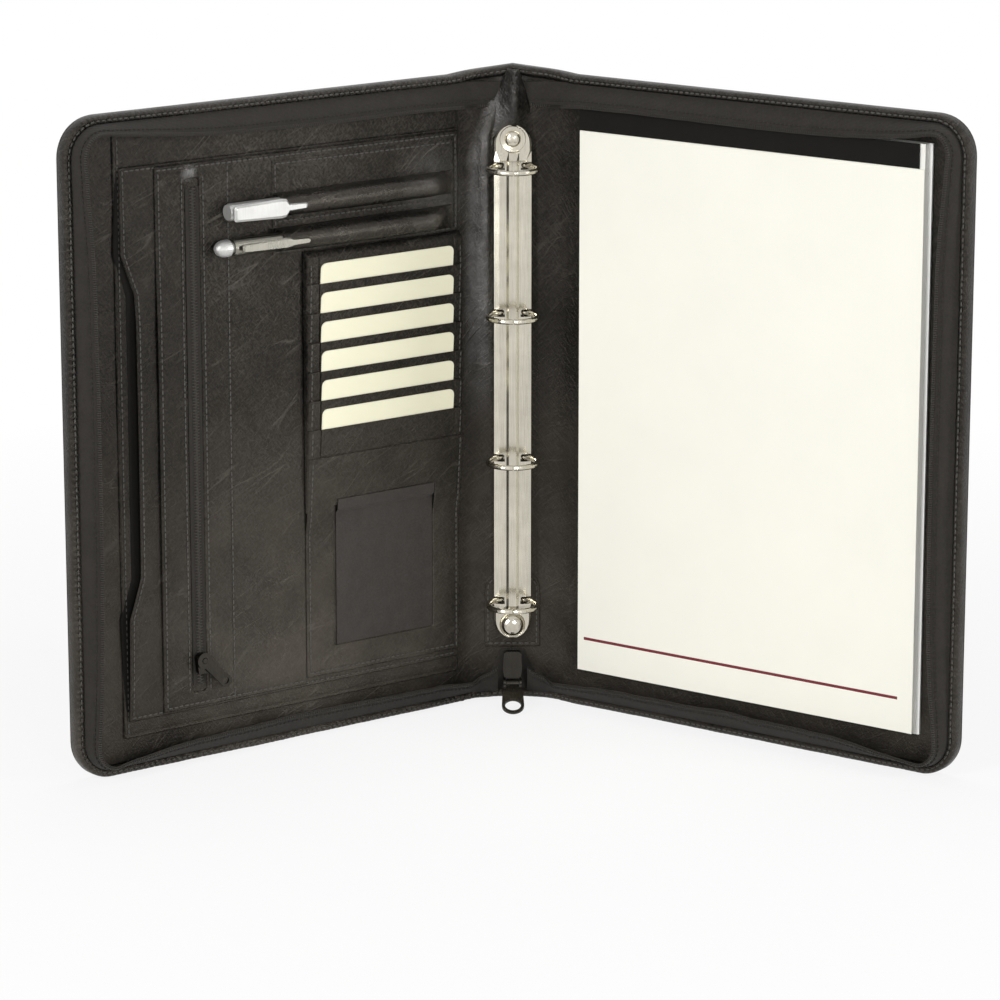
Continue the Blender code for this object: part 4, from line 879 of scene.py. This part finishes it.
def make_card_pocket():
    """Stepped strips, one in front of each card, between two side bands."""
    step = CARD_STACK / math.cos(CARD_LEAN)
    mouths = [FIRST_MOUTH - k * CARD_PITCH for k in range(6)]
    profile = [(FRONT, CARDS_LOW), (lean_lift(CARDS_LOW, mouths[-1]) + step, CARDS_LOW)]
    for mouth in reversed(mouths):
        profile += [(MOUTH_LIFT + step - 0.12, mouth - 0.5), (MOUTH_LIFT + step - 0.25, mouth - 0.08),
                    (MOUTH_LIFT + 0.02, mouth)]
    shoulder = FIRST_MOUTH + 11.6
    drop = lean_lift(shoulder, mouths[0]) - FRONT - SKIN
    head_line = [(FRONT + SKIN + drop * math.cos(a), shoulder + 5.6 * math.sin(a)) for a in np.linspace(0, 1.5, 7)]
    profile += [*head_line, (FRONT, CARDS_HIGH)]
    u = HALF
    pieces = []
    for name, a, b in (("card_band_spine", SEAM, 15.3), ("card_band_fore", 101.4, CARDS_FORE)):
        stations = []
        for s, share in ((a, 0.72), (a + 0.4, 0.9), (a + 1.2, 1.0), (b - 1.2, 1.0), (b - 0.4, 0.9), (b, 0.72)):
            stations.append([(u + s, FRONT + (lift - FRONT) * share, z) for lift, z in profile])
        pieces.append(sweep(name, stations, INNER, LEFT, sharp=25))
    rise, lift = math.cos(CARD_LEAN), math.sin(CARD_LEAN)
    for k, mouth in enumerate(mouths):
        section = []
        for along, across in ((-HIDDEN, 0.92), (-0.4, 0.92), (0.0, 1.0), (0.0, 1.14), (-0.4, 1.22), (-HIDDEN, 1.22)):
            section.append((MOUTH_LIFT + along * lift + across * rise, mouth + along * rise - across * lift))
        stations = [[(u + s, a, z) for a, z in section] for s in np.linspace(15.0, 101.8, 12)]
        pieces.append(sweep(f"card_strip_{k + 1}", stations, INNER, LEFT))
    head = rounded([(u + 15.0, mouths[0] - 4, 0), (u + 101.8, mouths[0] - 4, 0), (u + 101.8, CARDS_HIGH, 0.5),
                    (u + 15.0, CARDS_HIGH, 0.5)])

    def roll(_, z):
        """Leaning behind the first card, then rolled down to the panel above it."""
        over = np.clip((z - shoulder) / 5.6, 0, 0.999)
        lying = FRONT + SKIN + drop * np.sqrt(1 - over**2)
        return np.where(z < shoulder, lean_lift(z, mouths[0]), lying) - 0.5

    pieces.append(panel("card_pocket_head", head, 0, INNER, LEFT, thick=0.5, cell=2.5, ripple=0.05, seed=31,
                        shape=roll))
    sewn(pieces[0], "card_pocket")
    for piece in pieces[1:]:
        sewn(piece)
    rows = []
    for s in (11.0, 107.4):
        line = []
        for mouth in mouths:
            line += [(u + s, MOUTH_LIFT + step - 0.05, mouth - 1.0),
                     (u + s, lean_lift(mouth - CARD_PITCH, mouth) + step, mouth - CARD_PITCH + 0.6)]
        rows.append([(u + s, lean_lift(shoulder - 1, mouths[0]), shoulder - 1)] + line)
    sewn(thread("card_pocket_stitches", rows, THREAD, LEFT))


def make_window_panel():
    """Leather frame of the window, below the cards."""
    u = HALF
    last = FIRST_MOUTH - 5 * CARD_PITCH
    run = CARD_STACK / math.cos(CARD_LEAN) + 0.3

    def lie(_, z):
        """Flat low down, then up over the foot of the card pocket."""
        leaning = lean_lift(z, last) + run
        t = np.clip((z - (CARDS_LOW - 14.0)) / 13.4, 0, 1)
        ease = t * t * (3 - 2 * t)
        return np.where(z > CARDS_LOW - 0.6, leaning, FRONT + (lean_lift(CARDS_LOW - 0.6, last) + run - FRONT) * ease)

    outline = box_outline(u + SEAM, u + CARDS_FORE, 31.5, 152.5, 1.0)
    hole = box_outline(u + 26.6, u + 92.0, 47.0, 128.0, 0.8)
    edge = [(u + 107.4, 150), (u + 107.4, 34), (u + 11.2, 34), (u + 11.2, 150)]
    piece = panel("id_frame_leather", outline, FRONT, INNER, LEFT, holes=[hole], grooves=[edge], thick=0.8, seed=33,
                  shape=lie)
    sewn(piece, "id_frame")
    row = draped_row(edge, lie, 0.78)
    sewn(thread("id_frame_stitches", [row], THREAD, LEFT))


def make_pen_loops():
    """Two leather sleeves on a sewn panel, flattened and pleated towards the spine."""
    u = HALF
    base = [(u + 12.5, 263.6), (u + 128.6, 263.6), (u + 128.6, 313.4), (u + 12.5, 313.4)]
    edge = [(u + 14.5, 311.6), (u + 126.8, 311.6), (u + 126.8, 265.3), (u + 14.5, 265.3)]
    between = [(u + 20, 281.3), (u + 126, 281.3)]
    piece = panel("pen_panel", base, PEN_PANEL, INNER, LEFT, grooves=[edge, between], thick=0.45, ripple=0.06, seed=35)
    sewn(piece)
    rows = [flat_row(edge, PEN_BASE), flat_row(between, PEN_BASE)]
    sewn(thread("pen_panel_stitches", rows, THREAD, LEFT))
    for word, pen_z in PENS:
        stations = []
        for along in np.linspace(0, 1, 46):
            s = u + 128.0 - 114.0 * along
            t = min(1.0, (1 - along) / 0.16)
            puff = 0.10 + 0.90 * t * t * (3 - 2 * t)
            outer, inner = [], []
            for k in range(21):
                a = math.pi * k / 20
                crush = 0.22 * noise.noise(Vector((s / 9, a * 2.2, pen_z))) * (0.4 + along)
                wide = 5.9 + 0.4 * math.sin(math.pi * along) + 0.5 * (1 - puff)
                tall = (PEN_LIFT - PEN_BASE + 5.75 + crush) * puff
                square = abs(math.sin(a)) ** 0.72
                outer.append((s, PEN_BASE + tall * square, pen_z + wide * math.cos(a)))
                inside_z = pen_z + (wide - 0.75) * math.cos(a)
                inner.append((s, PEN_BASE + max((tall - 0.75) * square, 0.04), inside_z))
            stations.append(outer + inner[::-1])
        piece = sweep(f"pen_sleeve_{word}", stations, SLEEVE, LEFT, sharp=50)
        sewn(piece, f"pen_loop_{word}")


# Spine


def make_spine_trim():
    """The zip's ends at the head and foot of the spine, and the patch under the rings."""

    def tongue(s, z):
        """A pleat of lining that rises out of it and gathers towards the head of the spine."""
        t = np.clip((z - 312) / 34, 0, 1)
        across = np.where(s < 1.0, (s - 1.0) / (10.0 - 5.5 * t), (s - 1.0) / (6.0 - 2.5 * t))
        return 2.55 + 2.4 * t + 9.0 * np.sqrt(t) * np.exp(-(across**2)) + 0.35 * t * np.sin(s * 1.1 + 0.6)

    def gusset(s, z):
        """Cloth that rises a little towards its foot and its middle."""
        t = np.clip((28 - z) / 22, 0, 1)
        return PATCH + 1.4 * t + 1.2 * np.exp(-((s / 5.0) ** 2))

    top = rounded([(-19.0, 311, 3), (15.0, 311, 3), (10.0, 326, 4), (7.0, 338, 4), (3.0, 350.4, 1.5),
                   (-3.0, 350.4, 1.5), (-8.0, 338, 4), (-12.5, 326, 4)])
    piece = panel("zip_end_top_leather", top, 0, INNER, RIGHT, cell=1.8, ripple=0.3, seed=41, shape=tongue)
    settle(piece, "case", "lining_leather", "zip_end_top")
    low = rounded([(-17.0, 3.5, 1), (17.0, 3.5, 1), (6.5, 29.0, 3), (-6.5, 29.0, 3)])
    piece = panel("zip_end_bottom_cloth", low, 0, TAPE, RIGHT, cell=2.5, ripple=0.2, seed=43, shape=gusset)
    settle(piece, "case", "zip_tape", "zip_end_bottom")
    patch = rounded([(-15.25, 30.2, 1), (15.25, 30.2, 1), (15.25, 72.2, 9), (-15.25, 72.2, 9)])
    edge = rounded([(-13.3, 32.2, 0.5), (13.3, 32.2, 0.5), (13.3, 70.2, 7.5), (-13.3, 70.2, 7.5)])
    edge = edge + edge[:1]
    piece = panel("ring_patch_leather", patch, PATCH, INNER, RIGHT, cell=3.0, grooves=[edge], seed=45)
    settle(piece, "case", "lining_leather", "ring_patch")
    settle(thread("ring_patch_stitches", [flat_row(edge, PATCH + SKIN)], THREAD, RIGHT), "case", "lining_leather")


# Looks of the CAD solids that stay


def dress(names, look):
    """Gives CAD nodes a material."""
    for name in names:
        NODES[name].data.materials.clear()
        NODES[name].data.materials.append(look)


def dress_all():
    """Metal, paper, card, board, mesh and cloth."""
    rings = [f"ring_{word}_{k}" for word in WORDS.values() for k in range(1, 5)]
    blades = ["ring_blade_left", "ring_blade_right"]
    dress(["ring_plate", "ring_rivet_top", "ring_rivet_bottom", *blades, *rings], NICKEL)
    dress(["main_zip_slider", "main_zip_pull", "pocket_zip_slider", "pocket_zip_pull"], DARK_METAL)
    dress(["upper_pen_barrel", "upper_pen_clip", "lower_pen_button"], SILVER)
    dress(["lower_pen_barrel", "lower_pen_clip"], STEEL)
    dress([f"card_{k}" for k in range(1, 7)], CARD)
    dress(["pad_top_sheet"], PAGE)
    dress(["pad_sheets"], BLOCK)
    dress(["pad_board"], WHITE)
    dress(["pad_binding"], BINDING)
    dress(["id_window"], MESH)
    dress(["spine_board", "left_cover_board", "right_cover_board"], BOARD)


# Camera, floor and light

# Lamps: name, place, width and height in metres, and power in watts
LAMPS = (
    ("key", (-1.6, -1.9, 1.5), (0.75, 0.75), 21.0),
    ("right", (1.95, -0.8, 0.55), (0.35, 1.0), 16.5),
    ("left", (-1.4, -1.6, 0.45), (0.4, 0.8), 9.0),
    ("front", (0.7, -2.6, 0.8), (0.6, 0.4), 14.5),
    ("top", (0.1, 0.4, 1.9), (1.2, 0.6), 9.0),
)
LAMPS_AIM = Vector((0, -0.06, 0.17))
AMBIENT = 0.25


def seen_directly(tree):
    """1 for rays from the camera, and for reflections and see-through, 0 for light that falls on things."""
    path = tree.nodes.new("ShaderNodeLightPath")
    total = path.outputs["Is Camera Ray"]
    for kind in ("Is Glossy Ray", "Is Transmission Ray"):
        node = tree.nodes.new("ShaderNodeMath")
        node.operation = "MAXIMUM"
        tree.links.new(total, node.inputs[0])
        tree.links.new(path.outputs[kind], node.inputs[1])
        total = node.outputs["Value"]
    return total


def floor_look():
    """Pale floor that shows near white and keeps the object's shadow."""
    n = Nodes("pale_floor")
    n.tree.nodes.remove(n.shader)
    pale = n.add("ShaderNodeBsdfDiffuse", Color=(0.93, 0.93, 0.93, 1.0)).outputs["BSDF"]
    glow = n.add("ShaderNodeEmission", Strength=1.0).outputs["Emission"]
    away = n.add("ShaderNodeVectorMath", {0: n.place}, operation="LENGTH").outputs["Value"]
    spread = n.add("ShaderNodeMapRange", {"Value": away}, From_Min=0.25, From_Max=0.75, To_Min=0.84).outputs["Result"]
    share = n.times(seen_directly(n.tree), spread)
    shown = n.add("ShaderNodeMixShader", {"Fac": share, 1: pale, 2: glow}).outputs["Shader"]
    n.tree.links.new(shown, n.tree.nodes["Material Output"].inputs["Surface"])
    return n.material


def make_camera():
    """The photo's view."""
    camera = bpy.data.cameras.new("camera")
    camera.sensor_width = 36.0
    camera.lens = 161.5
    camera.clip_end = 30.0
    holder = stand("camera", camera)
    holder.location = (-0.03827, -2.37094, 0.70907)
    holder.rotation_euler = (math.pi / 2 - math.radians(14.132), 0.0, math.radians(-0.763))
    bpy.context.scene.camera = holder
    bpy.context.scene.view_settings.view_transform = "Standard"


def make_floor():
    """Wide floor that belongs to the stage alone."""
    mesh = bpy.data.meshes.new("floor")
    mesh.from_pydata([(-9, -9, 0), (9, -9, 0), (9, 9, 0), (-9, 9, 0)], [], [(0, 1, 2, 3)])
    mesh.materials.append(floor_look())
    stand("floor", mesh)


def make_light():
    """White surroundings that light things only a little, and soft lamps."""
    world = bpy.data.worlds.new("studio")
    bpy.context.scene.world = world
    world.use_nodes = True
    tree = world.node_tree
    strength = tree.nodes.new("ShaderNodeMapRange")
    strength.inputs["To Min"].default_value = AMBIENT
    strength.inputs["To Max"].default_value = 1.0
    tree.links.new(seen_directly(tree), strength.inputs["Value"])
    background = tree.nodes["Background"]
    background.inputs["Color"].default_value = (1.0, 1.0, 1.0, 1.0)
    tree.links.new(strength.outputs["Result"], background.inputs["Strength"])
    for name, place, size, power in LAMPS:
        lamp = bpy.data.lights.new(name, "AREA")
        lamp.shape = "RECTANGLE"
        lamp.size, lamp.size_y = size
        lamp.energy = power
        obj = stand(name, lamp)
        obj.location = place
        obj.rotation_euler = (LAMPS_AIM - Vector(place)).to_track_quat("-Z", "Y").to_euler()


make_camera()
make_floor()
make_light()
dress_all()
for each_side in (LEFT, RIGHT):
    make_skins(each_side)
    make_rim(each_side)
    make_tape(each_side)
make_organiser()
make_pocket_zip()
make_card_pocket()
make_window_panel()
make_pen_loops()
make_spine_trim()
